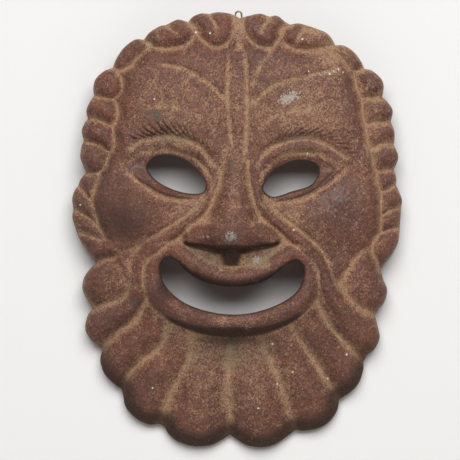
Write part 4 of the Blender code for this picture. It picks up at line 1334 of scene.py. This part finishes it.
@dataclass
class WireLoop:
    """The brass wire bent into a closed loop, slightly uneven as hand-bent wire is."""

    sides: int = 14
    turn_steps: int = 14
    straight_steps: int = 16
    sway: float = 0.00012
    sway_waves: tuple[float, float, float] = (900.0, 1100.0, 300.0)

    def make(self, brass: bpy.types.Material) -> bpy.types.Object:
        """Builds the wire round the box of its solid.

        Args:
            brass: Its material.

        Returns:
            The new piece, in place.
        """
        low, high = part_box("hanging_wire")
        radius = WIRE_DIAMETER / 2
        reach = (high.x - low.x) / 2 - radius
        depth = (low.y + high.y) / 2
        top, bottom = high.z - radius - reach, low.z + radius + reach
        bm = bmesh.new()
        ring = bmesh.ops.create_circle(bm, segments=self.sides, radius=radius)["verts"]
        bmesh.ops.translate(bm, vec=(reach, depth, top), verts=ring)
        edges = list(bm.edges)
        first = list(edges)
        straight = self.straight_steps
        for centre, far, steps in ((top, bottom, straight), (bottom, top, straight - 1)):
            turned = bmesh.ops.spin(bm, geom=edges, cent=(0, depth, centre), axis=(0, -1, 0), angle=math.pi,
                                    steps=self.turn_steps)["geom_last"]
            edges = [item for item in turned if isinstance(item, bmesh.types.BMEdge)]
            for _ in range(steps):
                grown = bmesh.ops.extrude_edge_only(bm, edges=edges)["geom"]
                verts = [item for item in grown if isinstance(item, bmesh.types.BMVert)]
                bmesh.ops.translate(bm, vec=(0, 0, (far - centre) / straight), verts=verts)
                edges = [item for item in grown if isinstance(item, bmesh.types.BMEdge)
                         and all(end in verts for end in item.verts)]
        bmesh.ops.bridge_loops(bm, edges=edges + first)
        sideways, forward, twist = self.sway_waves
        for vert in bm.verts:
            wave = math.sin(vert.co.z * sideways) * (1 if vert.co.x > 0 else -1)
            vert.co.x += self.sway * wave
            vert.co.y += 0.5 * self.sway * math.cos(vert.co.z * forward + vert.co.x * twist)
        bmesh.ops.remove_doubles(bm, verts=bm.verts, dist=1e-7)
        bmesh.ops.recalc_face_normals(bm, faces=bm.faces)
        mesh = bpy.data.meshes.new("brass_wire_loop")
        bm.to_mesh(mesh)
        bm.free()
        mesh.shade_smooth()
        mesh.materials.append(brass)
        return placed("brass_wire_loop", mesh)


@dataclass
class Studio:
    """The pale wall and floor, one soft light and the camera. Lengths in metres, angles in degrees."""

    frame_width: float = 0.36037
    frame_centre: tuple[float, float] = (-0.00666, -0.17039)
    distance: float = 3.2
    sensor: float = 36.0
    view_limit: float = 50.0
    wall_gap: float = 0.0006
    wall_lean: float = 0.06
    wall_size: float = 4.4
    floor_drop: float = 2.0
    floor_behind: float = 0.3
    key_azimuth: float = 3.0
    key_elevation: float = 33.0
    key_distance: float = 3.4
    key_size: tuple[float, float] = (3.2, 2.4)
    key_power: float = 131.0
    key_colour: tuple[float, float, float] = (1.0, 0.998, 0.994)
    air_colour: tuple[float, float, float, float] = (0.96, 0.98, 1.0, 1.0)
    air_strength: float = 0.1

    def panel(self, name: str, place: tuple[float, float, float], tilt: float,
              plaster: bpy.types.Material) -> None:
        """Adds a flat backdrop.

        Args:
            name: Its name.
            place: Its centre.
            tilt: Its turn about X, in radians.
            plaster: Its material.
        """
        bm = bmesh.new()
        bmesh.ops.create_grid(bm, x_segments=1, y_segments=1, size=self.wall_size / 2)
        mesh = bpy.data.meshes.new(name)
        bm.to_mesh(mesh)
        bm.free()
        mesh.materials.append(plaster)
        made = placed(name, mesh)
        made.location = place
        made.rotation_euler = (tilt, 0, 0)

    def key_light(self) -> None:
        """Adds the soft light, which faces the mask from a little to the right and above."""
        lamp = bpy.data.lights.new("key", "AREA")
        lamp.energy = self.key_power
        lamp.shape = "RECTANGLE"
        lamp.size, lamp.size_y = self.key_size
        lamp.color = self.key_colour
        right, up = math.radians(self.key_azimuth), math.radians(self.key_elevation)
        way = Vector((math.sin(right) * math.cos(up), -math.cos(right) * math.cos(up), math.sin(up)))
        made = placed("key", lamp)
        made.location = Vector((self.frame_centre[0], 0, self.frame_centre[1])) + self.key_distance * way
        made.rotation_euler = way.to_track_quat("Z", "Y").to_euler()

    def make(self) -> None:
        """Sets up the studio."""
        plaster = Plaster().make()
        x, z = self.frame_centre
        foot = -CAD_BOX[0][2] + z
        self.panel("studio_wall", (0, self.wall_gap + self.wall_lean * foot, z), math.pi / 2 - self.wall_lean,
                   plaster)
        front = self.floor_behind - self.wall_size / 2
        self.panel("studio_floor", (0, front, z - self.floor_drop), 0.0, plaster)
        self.key_light()
        world = bpy.data.worlds.new("studio_air")
        world.use_nodes = True
        air = world.node_tree.nodes["Background"].inputs
        air["Color"].default_value = self.air_colour
        air["Strength"].default_value = self.air_strength
        bpy.context.scene.world = world
        bpy.context.scene.view_settings.view_transform = "Standard"
        lens = bpy.data.cameras.new("camera")
        lens.sensor_width = self.sensor
        lens.lens = self.sensor * self.distance / self.frame_width
        lens.clip_end = self.view_limit
        camera = placed("camera", lens)
        camera.location = (x, -self.distance, z)
        camera.rotation_euler = (math.pi / 2, 0, 0)
        bpy.context.scene.camera = camera


def report(piece: bpy.types.Object) -> None:
    """Logs a piece's name and its number of triangles."""
    piece.data.calc_loop_triangles()
    LOG.info("%s: %d triangles", piece.name, len(piece.data.loop_triangles))


def main() -> None:
    """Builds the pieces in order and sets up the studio."""
    logging.basicConfig(level=logging.INFO, format="%(name)s: %(message)s")
    Studio().make()
    mask = MaskCasting(Carving()).make(RustedIron().make())
    wire = WireLoop().make(DullBrass().make())
    for piece, node, slot in ((mask, "mask_casting", "cast_iron"), (wire, "hanging_wire", "brass_wire")):
        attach(piece, "root")
        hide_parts(node)
        report(piece)


if __name__ == "__main__":
    main()
